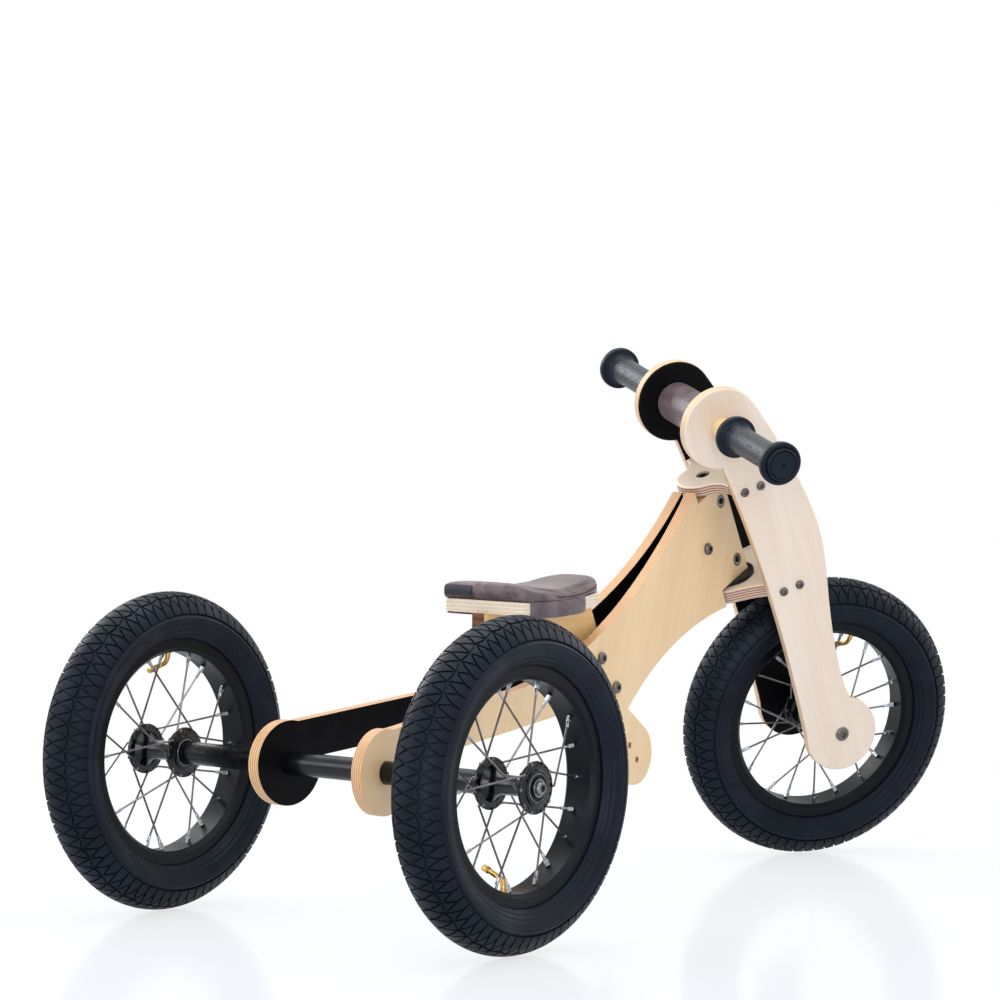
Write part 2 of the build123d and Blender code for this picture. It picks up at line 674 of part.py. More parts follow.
def seat_post():
    half = POST_THICKNESS / 2
    board = slab(seat_post_profile(), -half, half)
    board -= seat_layer(board_curve(-SEAT_BOARD_THICKNESS - SEAT_GAP), board_curve(SEAT_TOP))
    for middle in (SEAT_REAR - SEAT_LENGTH / 2, SEAT_REAR + 1.5 * SEAT_LENGTH):
        above = Pos(middle, 0, SEAT_TOP + SEAT_LENGTH / 2 - SEAT_BOARD_THICKNESS)
        board -= above * Box(SEAT_LENGTH, SEAT_WIDTH, SEAT_LENGTH)
    for x, z in (SEAT_BOLT_UPPER, SEAT_BOLT_LOWER):
        board -= cross_rod(BOLT_DIAMETER + 2 * FIT, x, z, -half, half)
    return board - seat_screw_holes(FIT)


def seat_packers():
    """Wedges that fill the space between the post and the spread frame sides at the seat bolts."""
    start = PACKER_START
    end = PACKER_START + PACKER_LENGTH
    near = POST_THICKNESS / 2 + SEAT_GAP
    wedge = make_face(
        Polyline(
            (start, near),
            (end, near),
            (end, side_half_gap(end) - SEAT_GAP),
            (start, side_half_gap(start) - SEAT_GAP),
            close=True,
        )
    )
    margin = SEAT_BOLT_MARGIN
    shape = slab(
        make_face(
            Polyline(
                (SEAT_BOLT_UPPER[0] - margin, SEAT_BOLT_UPPER[1] + margin / 2),
                (SEAT_BOLT_UPPER[0] + margin, SEAT_BOLT_UPPER[1] + margin),
                (SEAT_BOLT_LOWER[0] + margin, SEAT_BOLT_LOWER[1]),
                (SEAT_BOLT_LOWER[0], SEAT_BOLT_LOWER[1] - margin),
                (SEAT_BOLT_LOWER[0] - margin, SEAT_BOLT_LOWER[1]),
                close=True,
            )
        ),
        0,
        REAR_GAP,
    )
    packer = extrude(wedge, 2 * SEAT_TOP) & shape
    for x, z in (SEAT_BOLT_UPPER, SEAT_BOLT_LOWER):
        packer -= cross_rod(BOLT_DIAMETER + 2 * FIT, x, z, 0, REAR_GAP)
    return [packer, mirror(packer, Plane.XZ)]


# Fork, drawn about the steering axis: X ahead of it, Z up along it from the level of the front axle


def blade_profile():
    """Side view of a fork blade: round axle boss, bowed front edge, leaning rear edge and round head."""
    boss = BLADE_BOSS_RADIUS
    head = BLADE_HEAD_RADIUS
    front_foot = (FORK_OFFSET + boss * cos(radians(60)), boss * sin(radians(60)))
    rear_foot = (FORK_OFFSET + boss * cos(radians(163)), boss * sin(radians(163)))
    front_head = (BAR_OFFSET + head * cos(radians(20)), BAR_LEVEL + head * sin(radians(20)))
    rear_head = (BAR_OFFSET + head * cos(radians(256)), BAR_LEVEL + head * sin(radians(256)))
    front_edge = Spline(
        front_head,
        (UPPER_SCREWS[1] + head, UPPER_SCREW_LEVEL - SCREW_LENGTH / 4.5),
        (LOWER_SCREWS[1] + 0.95 * boss, LOWER_SCREW_LEVEL + 1.2 * boss),
        (LOWER_SCREWS[1] + 0.72 * boss, LOWER_SCREW_LEVEL - 0.62 * boss),
        (FORK_OFFSET + 0.44 * boss, 1.9 * boss),
        front_foot,
        tangents=[(sin(radians(20)), -cos(radians(20))), (0.2, -1)],
    )
    rear_edge = Spline(
        rear_foot,
        (LOWER_SCREWS[0] - boss / 2.8, LOWER_SCREW_LEVEL - boss),
        (UPPER_SCREWS[0] - boss / 9, UPPER_SCREW_LEVEL - 2 * boss),
        rear_head,
    )
    foot = ThreePointArc(front_foot, (FORK_OFFSET, -boss), rear_foot)
    top = ThreePointArc(rear_head, (BAR_OFFSET, BAR_LEVEL + head), front_head)
    return make_face(front_edge + foot + rear_edge + top)


def blade_holes():
    """Axle, handlebar and screw holes, right through both blades."""
    reach = 2 * BLADE_OUTER
    holes = [cross_rod(AXLE_DIAMETER + 2 * FIT, FORK_OFFSET, 0, -reach, reach)]
    holes.append(cross_rod(BAR_DIAMETER + 2 * FIT, BAR_OFFSET, BAR_LEVEL, -reach, reach))
    return holes + [cross_rod(SCREW_DIAMETER + 2 * FIT, x, z, -reach, reach) for x, z in screw_places()]


def screw_places():
    upper = [(x, UPPER_SCREW_LEVEL) for x in UPPER_SCREWS]
    return upper + [(x, LOWER_SCREW_LEVEL) for x in LOWER_SCREWS]


def fork_blade(side):
    face = blade_profile()
    low = min(side * BLADE_INNER, side * BLADE_OUTER)
    board = slab(face, low, low + BLADE_THICKNESS)
    board = fillet(board.faces().filter_by(Axis.Y).edges(), EDGE_ROUND)
    return board - blade_holes()


def fork_screws(side):
    screws = []
    for x, z in screw_places():
        under = side * (BLADE_OUTER + SEAT_GAP)
        tip = side * (BLADE_OUTER - SCREW_LENGTH)
        top = side * (BLADE_OUTER + SEAT_GAP + SCREW_HEAD)
        shank = cross_rod(SCREW_DIAMETER, x, z, min(under, tip), max(under, tip))
        head = cross_rod(SCREW_HEAD_DIAMETER, x, z, min(under, top), max(under, top))
        screws.append(shank + head)
    return screws


def crown_outline(nose_radius, flank_start, reach):
    """Plan of a crown plate: round nose about the pivot, hollow flanks, square cheeks on the blades."""
    cheek = BLADE_INNER - SEAT_GAP
    turn = radians(180 - NOSE_TURN)
    left = (nose_radius * cos(turn), nose_radius * sin(turn))
    right = (left[0], -left[1])
    nose = ThreePointArc(left, (-nose_radius, 0), right)
    flank_right = TangentArc(right, (flank_start, -cheek), tangent=nose % 1)
    flank_left = mirror(flank_right, Plane.XZ)
    cheeks = Polyline((flank_start, -cheek), (reach, -cheek), (reach, cheek), (flank_start, cheek))
    return make_face(nose + flank_right + flank_left + cheeks)


def crown_plate(outline, low, thickness, head_up):
    """Plywood plate between the blades, bored for its pivot bolt and the sunk head of that bolt."""
    high = low + thickness
    plate = Pos(0, 0, low) * extrude(outline, thickness)
    rims = plate.faces().filter_by(Axis.Z).edges().filter_by(GeomType.CIRCLE)
    plate = fillet(rims, EDGE_ROUND)
    plate -= axis_rod(PIVOT_DIAMETER + 2 * FIT, low, high)
    sink = PIVOT_HEAD + PIVOT_SINK
    well = (high - sink, high) if head_up else (low, low + sink)
    plate -= axis_rod(PIVOT_HEAD_DIAMETER + 2 * RUN_GAP, *well)
    return plate - blade_holes()


def upper_crown():
    outline = crown_outline(UPPER_NOSE_RADIUS, UPPER_SCREWS[0] - 12, UPPER_CROWN_REACH)
    return crown_plate(outline, UPPER_CROWN_BOTTOM, UPPER_CROWN_THICKNESS, True)


def lower_crown():
    outline = crown_outline(LOWER_NOSE_RADIUS, LOWER_SCREWS[0] - 13, LOWER_CROWN_REACH)
    return crown_plate(outline, LOWER_CROWN_BOTTOM, LOWER_CROWN_THICKNESS, False)


def handlebar():
    """Wooden bar, stepped down inside the grips."""
    half = BAR_LENGTH / 2
    bar = cross_rod(BAR_DIAMETER, BAR_OFFSET, BAR_LEVEL, -GRIP_START, GRIP_START)
    return bar + cross_rod(BAR_END_DIAMETER, BAR_OFFSET, BAR_LEVEL, -half, half)


def handlebar_sleeve():
    half = BLADE_INNER - SEAT_GAP
    sleeve = cross_rod(SLEEVE_DIAMETER, BAR_OFFSET, BAR_LEVEL, -half, half)
    return sleeve - cross_rod(BAR_DIAMETER + 2 * FIT, BAR_OFFSET, BAR_LEVEL, -half, half)


def grip(side):
    """Rubber grip with a collar at each end and a closed, ringed cap."""
    bore = BAR_END_DIAMETER / 2 + FIT
    barrel = GRIP_DIAMETER / 2
    inner = GRIP_INNER_FLANGE / 2
    outer = GRIP_OUTER_FLANGE / 2
    start = GRIP_START + SEAT_GAP
    end = GRIP_START + GRIP_LENGTH
    bar_end = BAR_LENGTH / 2 + SEAT_GAP
    ring = GRIP_CAP / 8
    section = [
        (bore, start),
        (inner - ring, start),
        (inner, start + ring),
        (inner, start + GRIP_FLANGE_THICKNESS - ring),
        (inner - ring, start + GRIP_FLANGE_THICKNESS),
        (barrel, start + GRIP_FLANGE_THICKNESS),
        (barrel, end - GRIP_CAP),
        (outer - ring, end - GRIP_CAP),
        (outer, end - GRIP_CAP + ring),
        (outer, end - 2 * ring),
        (outer - 2 * ring, end - ring),
        (0.62 * outer, end - ring),
        (0.62 * outer, end),
        (0, end),
        (0, bar_end),
        (bore, bar_end),
    ]
    body = ring_section(section)
    if side < 0:
        body = mirror(body, Plane.XZ)
    return Pos(BAR_OFFSET, 0, BAR_LEVEL) * body


def front_axle_bolt():
    seat = BLADE_OUTER + SEAT_GAP
    shank = cross_rod(AXLE_DIAMETER, FORK_OFFSET, 0, -seat, seat)
    return shank + cross_rod(AXLE_HEAD_DIAMETER, FORK_OFFSET, 0, -seat - AXLE_HEAD / 2, -seat)


def front_axle_cap():
    """Screwed end of the axle on the left blade."""
    seat = BLADE_OUTER + 2 * SEAT_GAP
    return cross_rod(AXLE_HEAD_DIAMETER, FORK_OFFSET, 0, seat, seat + AXLE_HEAD / 2)


def front_axle_spacers():
    """Sleeves between the hub's bearings and the blades."""
    near = HUB_LENGTH / 2 + RUN_GAP
    far = BLADE_INNER - SEAT_GAP
    sleeve = cross_rod(AXLE_TUBE_DIAMETER, FORK_OFFSET, 0, near, far)
    sleeve -= cross_rod(AXLE_DIAMETER + 2 * FIT, FORK_OFFSET, 0, near, far)
    return [sleeve, mirror(sleeve, Plane.XZ)]


# Assembly


def frame_pieces():
    left = frame_side()
    clamp_bolt, clamp_nut = side_bolt(*head_point(-CLAMP_BACK, CLAMP_LEVEL))
    seat_bolts = [side_bolt(*place) for place in (SEAT_BOLT_UPPER, SEAT_BOLT_LOWER)]
    return {
        "frame_side_left": [left],
        "frame_side_right": [mirror(left, Plane.XZ)],
        "head_spacer": [head_spacer()],
        "head_clamp_bolt": [clamp_bolt],
        "head_clamp_nut": [clamp_nut],
        "pivot_barrel_nuts": barrel_nuts(),
        "upper_pivot_bolt": [upper_pivot_bolt()],
        "lower_pivot_bolt": [lower_pivot_bolt()],
        "upper_thrust_washer": [thrust_ring(WASHER_DIAMETER, HEAD_HIGH, HEAD_HIGH + WASHER_THICKNESS)],
        "lower_thrust_disc": [thrust_ring(DISC_DIAMETER, HEAD_LOW - DISC_THICKNESS, HEAD_LOW)],
        "rear_axle_tube": [rear_axle_tube()],
        "rear_axle_bolts": rear_axle_bolts(),
        "seat_post": [seat_post()],
        "seat_packers": seat_packers(),
        "seat_post_bolts": [bolt for bolt, _ in seat_bolts],
        "seat_post_nuts": [nut_piece for _, nut_piece in seat_bolts],
        "seat_board": [seat_board()],
        "seat_screws": seat_screw_holes(0),
        "seat_pad": [seat_pad()],
        "seat_flaps": seat_flaps(),
    }


def fork_pieces():
    pieces = {
        "fork_blade_left": [fork_blade(1)],
        "fork_blade_right": [fork_blade(-1)],
        "fork_screws_left": fork_screws(1),
        "fork_screws_right": fork_screws(-1),
        "upper_crown": [upper_crown()],
        "lower_crown": [lower_crown()],
        "handlebar": [handlebar()],
        "handlebar_sleeve": [handlebar_sleeve()],
        "grip_left": [grip(1)],
        "grip_right": [grip(-1)],
        "front_axle_bolt": [front_axle_bolt()],
        "front_axle_cap": [front_axle_cap()],
        "front_axle_spacers": front_axle_spacers(),
    }
    pieces.update(wheel("front_wheel", Pos(FORK_OFFSET, 0, 0), 48))
    turned = STEER_PLANE.location * Rot(Z=REST_STEER)
    return {name: [turned * solid for solid in solids] for name, solids in pieces.items()}


def all_pieces():
    pieces = frame_pieces()
    pieces.update(wheel("rear_left_wheel", Pos(0, HUB_Y, AXLE_Z), 88))
    pieces.update(wheel("rear_right_wheel", Pos(0, -HUB_Y, AXLE_Z), 262))
    pieces.update(fork_pieces())
    return pieces


def main():
    os.makedirs("parts", exist_ok=True)
    pieces = all_pieces()
    box = Compound([solid for solids in pieces.values() for solid in solids]).bounding_box()
    centred = Pos(-(box.min.X + box.max.X) / 2, 0, 0)
    for name, solids in pieces.items():
        placed = [centred * solid for solid in solids]
        export_step(placed[0] if len(placed) == 1 else Compound(placed), f"parts/{name}.step")
    print("length", round(box.size.X, 2), "width", round(box.size.Y, 2), "height", round(box.size.Z, 2))
    print("lowest", round(box.min.Z, 3), "rear axle at x", round(centred.position.X, 3))


main()
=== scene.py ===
import json
from math import ceil, copysign, cos, exp, hypot, pi, radians, sin, sqrt

import bmesh
import bpy
import numpy as np
from mathutils import Matrix, Vector, noise
from mathutils.bvhtree import BVHTree


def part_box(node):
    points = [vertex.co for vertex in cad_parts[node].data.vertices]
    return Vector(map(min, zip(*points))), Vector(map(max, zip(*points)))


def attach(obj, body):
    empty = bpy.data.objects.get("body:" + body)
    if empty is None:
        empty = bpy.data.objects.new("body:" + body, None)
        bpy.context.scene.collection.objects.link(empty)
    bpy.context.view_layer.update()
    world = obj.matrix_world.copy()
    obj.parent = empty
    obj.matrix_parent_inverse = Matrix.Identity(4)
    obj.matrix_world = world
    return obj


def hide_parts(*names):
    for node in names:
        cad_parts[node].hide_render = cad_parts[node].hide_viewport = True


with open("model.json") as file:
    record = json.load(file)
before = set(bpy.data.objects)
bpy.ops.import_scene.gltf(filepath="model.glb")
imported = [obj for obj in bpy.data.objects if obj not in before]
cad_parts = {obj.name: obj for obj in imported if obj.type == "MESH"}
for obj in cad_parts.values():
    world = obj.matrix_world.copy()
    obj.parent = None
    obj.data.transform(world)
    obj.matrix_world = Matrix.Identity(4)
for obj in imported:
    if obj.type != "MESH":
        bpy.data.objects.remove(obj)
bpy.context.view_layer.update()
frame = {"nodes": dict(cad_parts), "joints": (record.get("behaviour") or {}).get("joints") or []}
nodes = frame["nodes"]
joints = {joint["name"]: joint for joint in frame["joints"]}

MM = 0.001
SHIFT = joints["rear_left_wheel_spin"]["pos_m"][0] / MM  # X of the rear axle, in millimetres


# Frames of the steered front end and of the wheels: X ahead, Y to the left, Z up


def placed(origin, x, y, z):
    """Matrix from a local frame to the part's frame, in metres."""
    rows = [(x[i], y[i], z[i], origin[i]) for i in range(3)]
    return Matrix([*rows, (0, 0, 0, 1)])


steer_up = Vector(joints["steering"]["axis"]).normalized()
steer_at = Vector(joints["steering"]["pos_m"])
fork_left = Vector(joints["front_wheel_spin"]["axis"]).normalized()
fork_ahead = fork_left.cross(steer_up).normalized()
LEFT, UP = Vector((0, 1, 0)), Vector((0, 0, 1))
FORK = placed(steer_at, fork_ahead, fork_left, steer_up)
HEAD = placed(steer_at, LEFT.cross(steer_up), LEFT, steer_up)
WHEELS = {"front_wheel": placed(joints["front_wheel_spin"]["pos_m"], fork_ahead, fork_left, steer_up)}
for wheel in ("rear_left_wheel", "rear_right_wheel"):
    WHEELS[wheel] = Matrix.Translation(joints[wheel + "_spin"]["pos_m"])
VALVES = {"front_wheel": 48, "rear_left_wheel": 88, "rear_right_wheel": 262}  # degrees round the wheel
SIDES = ((1, "left"), (-1, "right"))
SEAT_REAR, SEAT_LENGTH, SEAT_TOP = 218 + SHIFT, 150.0, 296.5  # the seat board's rear end, length and top


# Materials


class Nodes:
    """A node tree while it is being put together."""

    def __init__(self, tree):
        self.tree = tree

    def add(self, kind, inputs, **settings):
        made = self.tree.nodes.new("ShaderNode" + kind)
        for key, value in settings.items():
            setattr(made, key, value)
        for key, value in inputs.items():
            if isinstance(value, bpy.types.NodeSocket):
                self.tree.links.new(value, made.inputs[key])
            else:
                made.inputs[key].default_value = value
        return made

    def math(self, operation, *values):
        return self.add("Math", dict(enumerate(values)), operation=operation).outputs[0]

    def background(self):
        """One for rays from the camera, a mirror or glass, which see the white background, else zero."""
        rays = self.add("LightPath", {}).outputs
        mirror = self.math("MAXIMUM", rays["Is Glossy Ray"], rays["Is Transmission Ray"])
        return self.math("MAXIMUM", rays["Is Camera Ray"], mirror)


class Finish(Nodes):
    """A node material with one principled shader."""

    def __init__(self, name, **fixed):
        self.material = bpy.data.materials.new(name)
        self.material.use_nodes = True
        super().__init__(self.material.node_tree)
        self.shader = next(n for n in self.tree.nodes if n.type == "BSDF_PRINCIPLED")
        for key, value in fixed.items():
            self.shader.inputs[key.replace("_", " ")].default_value = value
        self.at = self.add("TexCoord", {}).outputs["Object"]

    def plus(self, first, second):
        return self.math("ADD", first, second)

    def minus(self, first, second):
        return self.math("SUBTRACT", first, second)

    def times(self, first, second):
        return self.math("MULTIPLY", first, second)

    def along(self, direction):
        return self.add("VectorMath", {0: self.at, 1: direction}, operation="DOT_PRODUCT").outputs["Value"]

    def join(self, x, y, z):
        return self.add("CombineXYZ", {0: x, 1: y, 2: z}).outputs[0]

    def noise(self, scale, detail=3.0, distortion=0.0, at=None):
        """Noise of one scale, or of a scale for each axis."""
        at = at or self.at
        if isinstance(scale, tuple):
            at = self.add("VectorMath", {0: at, 1: scale}, operation="MULTIPLY").outputs["Vector"]
            scale = 1.0
        inputs = {"Vector": at, "Scale": scale, "Detail": detail, "Distortion": distortion}
        return self.add("TexNoise", inputs).outputs[0]

    def cells(self, scale):
        return self.add("TexVoronoi", {"Vector": self.at, "Scale": scale}).outputs["Distance"]

    def ramp(self, factor, *stops):
        made = self.add("ValToRGB", {0: factor})
        points = made.color_ramp.elements
        while len(points) < len(stops):
            points.new(0.5)
        for point, (at, colour) in zip(points, stops):
            point.position = at
            point.color = (*colour, 1)
        return made.outputs[0]

    def level(self, factor, low, high, at_low, at_high):
        return self.add("MapRange", {0: factor, 1: low, 2: high, 3: at_low, 4: at_high}).outputs[0]

    def mix(self, factor, first, second):
        """Mixes two colours; sockets 6 and 7 and output 2 are the node's colours."""
        ends = [v if isinstance(v, bpy.types.NodeSocket) else (*v, 1) for v in (first, second)]
        return self.add("Mix", {0: factor, 6: ends[0], 7: ends[1]}, data_type="RGBA").outputs[2]

    def rough(self, factor, low, high):
        """Roughness over the span that a noise mostly takes."""
        return self.level(factor, 0.3, 0.7, low, high)

    def done(self, colour, rough, height, strength, distance):
        """The material, with its colour, roughness and relief linked."""
        bump = self.add("Bump", {"Height": height, "Strength": strength, "Distance": distance}).outputs[0]
        for key, socket in (("Base Color", colour), ("Roughness", rough), ("Normal", bump)):
            self.tree.links.new(socket, self.shader.inputs[key])
        return self.material


def linear(red, green, blue):
    """A screen colour from 0 to 255 as the shader's linear values."""
    parts = [c / 255 for c in (red, green, blue)]
    return tuple(c / 12.92 if c <= 0.04045 else ((c + 0.055) / 1.055) ** 2.4 for c in parts)


def veneer(name, light, dark, grain, across):
    """Lacquered birch face: long pale figure, fine streaks and short pores along the grain."""
    mat = Finish(name, Coat_Weight=0.3, Coat_Roughness=0.28, Specular_IOR_Level=0.4)
    deep = Vector(grain).cross(Vector(across))
    lie = mat.join(*(mat.along(way) for way in (grain, across, deep)))
    figure = mat.noise((2.2, 17, 17), 3, 0.8, lie)
    streak = mat.noise((9, 260, 260), 4, at=lie)
    pores = mat.noise((120, 1500, 1500), 2, at=lie)
    tone = mat.plus(mat.times(figure, 0.65), mat.times(streak, 0.35))
    middle = [(a + b) / 2 for a, b in zip(light, dark)]
    colour = mat.ramp(tone, (0.36, dark), (0.5, middle), (0.62, light))
    fleck = mat.level(pores, 0.63, 0.74, 0, 0.28)
    colour = mat.mix(fleck, colour, [c * 0.62 for c in dark])
    height = mat.minus(streak, mat.times(fleck, 0.8))
    return mat.done(colour, mat.rough(streak, 0.34, 0.46), height, 0.12, 0.0002)


def ply_edge(name, pale, brown, plies, thickness, depth, *plane):
    """Cut edge of plywood: long-grain plies and brown end-grain plies with dark glue lines between them."""
    mat = Finish(name, Coat_Weight=0.2, Coat_Roughness=0.3, Specular_IOR_Level=0.35)
    wobble = mat.times(mat.minus(mat.noise(60, 2), 0.5), 0.0004)
    level = mat.times(mat.plus(depth(mat, *plane), wobble), plies / thickness)
    inside = mat.math("FRACT", mat.times(level, 0.5))
    fibre = mat.noise(900, 3)
    patch = mat.noise(45, 3)
    end_grain = mat.ramp(fibre, (0.35, [c * 0.72 for c in brown]), (0.65, brown))
    long_grain = mat.ramp(patch, (0.3, [c * 0.86 for c in pale]), (0.7, pale))
    which = mat.level(mat.math("PINGPONG", inside, 0.5), 0.23, 0.27, 0, 1)
    glue = mat.level(mat.math("PINGPONG", mat.minus(level, 0.5), 0.5), 0.0, 0.07, 0.55, 0)
    colour = mat.mix(which, long_grain, end_grain)
    colour = mat.mix(glue, colour, [c * 0.35 for c in brown])
    height = mat.plus(mat.times(which, 0.3), fibre)
    return mat.done(colour, mat.rough(fibre, 0.42, 0.62), height, 0.18, 0.0002)


def black_stain(name):
    """Satin black paint rolled on wood, with the grain just showing."""
    mat = Finish(name, Specular_IOR_Level=0.1)
    grain = mat.noise((30, 600, 90), 3)
    roll = mat.noise(700, 2)
    colour = mat.ramp(grain, (0.3, linear(4, 4, 6)), (0.7, linear(9, 9, 12)))
    height = mat.plus(grain, mat.times(roll, 0.5))
    return mat.done(colour, mat.rough(roll, 0.42, 0.58), height, 0.1, 0.0003)


def rubber(name, dark, light, grain, rough=(0.52, 0.7), relief=0.25):
    """Moulded rubber with fine skin, bloom in patches and dust where it is paler."""
    mat = Finish(name, Specular_IOR_Level=0.2, Specular_Tint=(0.7, 0.84, 1.0, 1))
    bloom = mat.noise(28, 4, 0.4)
    skin = mat.noise(grain, 3)
    colour = mat.ramp(bloom, (0.32, dark), (0.72, light))
    return mat.done(colour, mat.rough(bloom, rough[1], rough[0]), skin, relief, 0.0003)


def pebbled_rubber(name):
    """Grip rubber with a pebbled skin and scattered pin holes, coloured darker as painted shade."""
    mat = Finish(name, Specular_IOR_Level=0.45, Specular_Tint=(0.8, 0.88, 1.0, 1))
    pebble = mat.cells(620)
    shaded_pits = mat.level(mat.cells(230), 0.14, 0.28, 1, 0)
    bloom = mat.noise(60, 3)
    base = mat.ramp(bloom, (0.3, linear(15, 19, 27)), (0.7, linear(27, 32, 42)))
    # Painted shade: the pin holes are coloured darker than the rubber around them.
    colour = mat.mix(shaded_pits, base, linear(9, 11, 14))
    rough = mat.level(pebble, 0.0, 0.7, 0.24, 0.4)
    return mat.done(colour, rough, mat.minus(pebble, mat.times(shaded_pits, 2.5)), 0.6, 0.0004)


def leather(name, dark, middle, light, rough=(0.44, 0.6)):
    """Waxed taupe leather: cloudy dye, creases in the relief, paler flecks painted on as highlights and fine pebble
    grain.
    """
    mat = Finish(name, Specular_IOR_Level=0.42, Sheen_Weight=0.12, Sheen_Roughness=0.45)
    cloud = mat.noise(34, 4, 0.6)
    crease = mat.noise((60, 210, 160), 5, 1.4)
    pebble = mat.cells(950)
    fold = mat.level(crease, 0.42, 0.5, 0, 1)
    colour = mat.ramp(cloud, (0.28, dark), (0.5, middle), (0.74, light))
    # Painted highlight: paler flecks at random places, mixed towards the light colour.
    painted_highlight = mat.level(mat.noise(260, 3), 0.56, 0.72, 0, 0.35)
    colour = mat.mix(painted_highlight, colour, light)
    height = mat.plus(mat.times(pebble, 0.35), mat.times(fold, 0.5))
    return mat.done(colour, mat.rough(cloud, *rough), height, 0.32, 0.0005)


def metal(name, dark, light, rough, scratch=1400):
    """Turned or plated metal with faint marks and uneven polish."""
    mat = Finish(name, Metallic=1.0)
    mark = mat.noise(scratch, 3)
    stain = mat.noise(120, 3)
    colour = mat.ramp(stain, (0.3, dark), (0.7, light))
    return mat.done(colour, mat.rough(mark, *rough), mark, 0.05, 0.0001)


def coated(name, dark, light, rough, coat, shine=0.26):
    """Black paint or anodising over metal: slight orange peel and dust."""
    mat = Finish(
        name, Specular_IOR_Level=shine, Coat_Weight=coat, Coat_Roughness=0.12, Specular_Tint=(0.78, 0.87, 1.0, 1)
    )
    peel = mat.noise(420, 2)
    dust = mat.noise(70, 4)
    colour = mat.ramp(dust, (0.35, dark), (0.75, light))
    return mat.done(colour, mat.rough(dust, *rough), peel, 0.04, 0.0002)


# Inner faces of the bent frame sides
SIDE_SLOPE = 0.1  # how far the tail leaves the middle plane for each unit of length
SIDE_REAR = 51.5  # half the gap at the rear axle, beyond that at the head
SIDE_BEND = 12.0  # softness of the bend between head and tail
HEAD_HALF_GAP = 1.5


def side_depth(mat):
    """Distance of a point from the inner face of a bent frame side, in metres."""
    x, y = mat.add("SeparateXYZ", {0: mat.at}).outputs[:2]
    spread = mat.math("MULTIPLY_ADD", x, -SIDE_SLOPE, (SIDE_REAR + SHIFT * SIDE_SLOPE) * MM)
    gap = mat.plus(mat.math("SMOOTH_MAX", spread, 0.0, SIDE_BEND * MM), HEAD_HALF_GAP * MM)
    return mat.minus(mat.math("ABSOLUTE", y), gap)


def depth_along(mat, direction, start, middle=Vector()):
    """Distance beyond the planes at a distance on each side of a middle point, in metres."""
    beyond = mat.minus(mat.along(direction), middle.dot(direction))
    return mat.minus(mat.math("ABSOLUTE", beyond), start * MM)


birch_side = veneer("birch_side", linear(240, 208, 162), linear(231, 194, 145), (0.3, 0, 0.954), (0.954, 0, -0.3))
birch_fork = veneer("birch_fork", linear(238, 220, 202), linear(231, 208, 184), steer_up, fork_ahead)
birch_crown = veneer("birch_crown", linear(243, 226, 206), linear(232, 211, 188), fork_left, fork_ahead)
birch_seat = veneer("birch_seat", linear(241, 222, 195), linear(228, 200, 166), (1, 0, 0), (0, 1, 0))
birch_post = veneer("birch_post", linear(236, 196, 134), linear(220, 174, 110), (1, 0, 0), (0, 0, 1))
birch_dowel = veneer("birch_dowel", linear(240, 212, 160), linear(226, 190, 132), fork_left, fork_ahead)
side_edge = ply_edge("side_edge", linear(230, 188, 140), linear(200, 146, 98), 9, 12 * MM, side_depth)
plane = (depth_along, fork_left, 50.5, steer_at)
fork_edge = ply_edge("fork_edge", linear(240, 212, 178), linear(216, 168, 122), 9, 12 * MM, *plane)
plane = (depth_along, steer_up, 175.5, steer_at)
crown_edge = ply_edge("crown_edge", linear(222, 194, 174), linear(158, 112, 86), 11, 15 * MM, *plane)
plane = (depth_along, UP, 284)
seat_edge = ply_edge("seat_edge", linear(246, 230, 208), linear(242, 221, 193), 7, 12.5 * MM, *plane)
plane = (depth_along, UP, 260)
end_grain = ply_edge("end_grain", linear(122, 74, 44), linear(96, 54, 30), 4, 15 * MM, *plane)
black_inside = black_stain("black_inside")
tyre_rubber = rubber("tyre_rubber", linear(6, 9, 18), linear(13, 18, 31), 1500, (0.42, 0.58))
tube_rubber = rubber("tube_rubber", linear(16, 16, 17), linear(24, 24, 25), 500)
grip_rubber = pebbled_rubber("grip_rubber")
cap_rubber = rubber("cap_rubber", linear(12, 16, 24), linear(22, 28, 38), 900, (0.34, 0.48), 0.12)
hide = leather("hide", linear(62, 47, 51), linear(90, 73, 77), linear(130, 112, 117), (0.34, 0.54))
hide_dark = leather("hide_dark", linear(24, 25, 32), linear(34, 35, 44), linear(50, 50, 60))
hide_sleeve = leather("hide_sleeve", linear(70, 54, 57), linear(88, 70, 72), linear(110, 92, 94), (0.26, 0.38))
thread = rubber("thread", linear(70, 56, 54), linear(92, 76, 72), 2600, (0.6, 0.8), 0.5)
steel = metal("steel", (0.42, 0.43, 0.46), (0.62, 0.63, 0.66), (0.18, 0.34))
dull_steel = metal("dull_steel", (0.14, 0.14, 0.15), (0.26, 0.26, 0.27), (0.25, 0.4))
spoke_steel = metal("spoke_steel", (0.12, 0.11, 0.11), (0.22, 0.2, 0.2), (0.25, 0.42))
gunmetal = metal("gunmetal", (0.1, 0.09, 0.085), (0.2, 0.18, 0.165), (0.28, 0.46), 900)
brass = metal("brass", (0.47, 0.28, 0.07), (0.64, 0.41, 0.13), (0.24, 0.42), 700)
nipple_steel = metal("nipple_steel", (0.28, 0.3, 0.33), (0.44, 0.46, 0.5), (0.2, 0.36))
rim_black = coated("rim_black", linear(3, 4, 7), linear(8, 10, 15), (0.34, 0.46), 0.0, 0.18)
hub_black = coated("hub_black", linear(4, 4, 6), linear(10, 10, 13), (0.12, 0.24), 0.25)
axle_black = coated("axle_black", linear(6, 6, 8), linear(13, 13, 16), (0.2, 0.32), 0.15)
disc_black = coated("disc_black", linear(18, 15, 14), linear(34, 28, 25), (0.36, 0.5), 0.0)
seal_black = rubber("seal_black", linear(12, 12, 13), linear(22, 22, 24), 900, (0.45, 0.6), 0.15)


# Mesh building, in millimetres


def soften(mesh, sharp=35.0):
    """Smooth shading with sharp edges above an angle in degrees."""
    mesh.shade_smooth()
    mesh.set_sharp_from_angle(angle=radians(sharp))


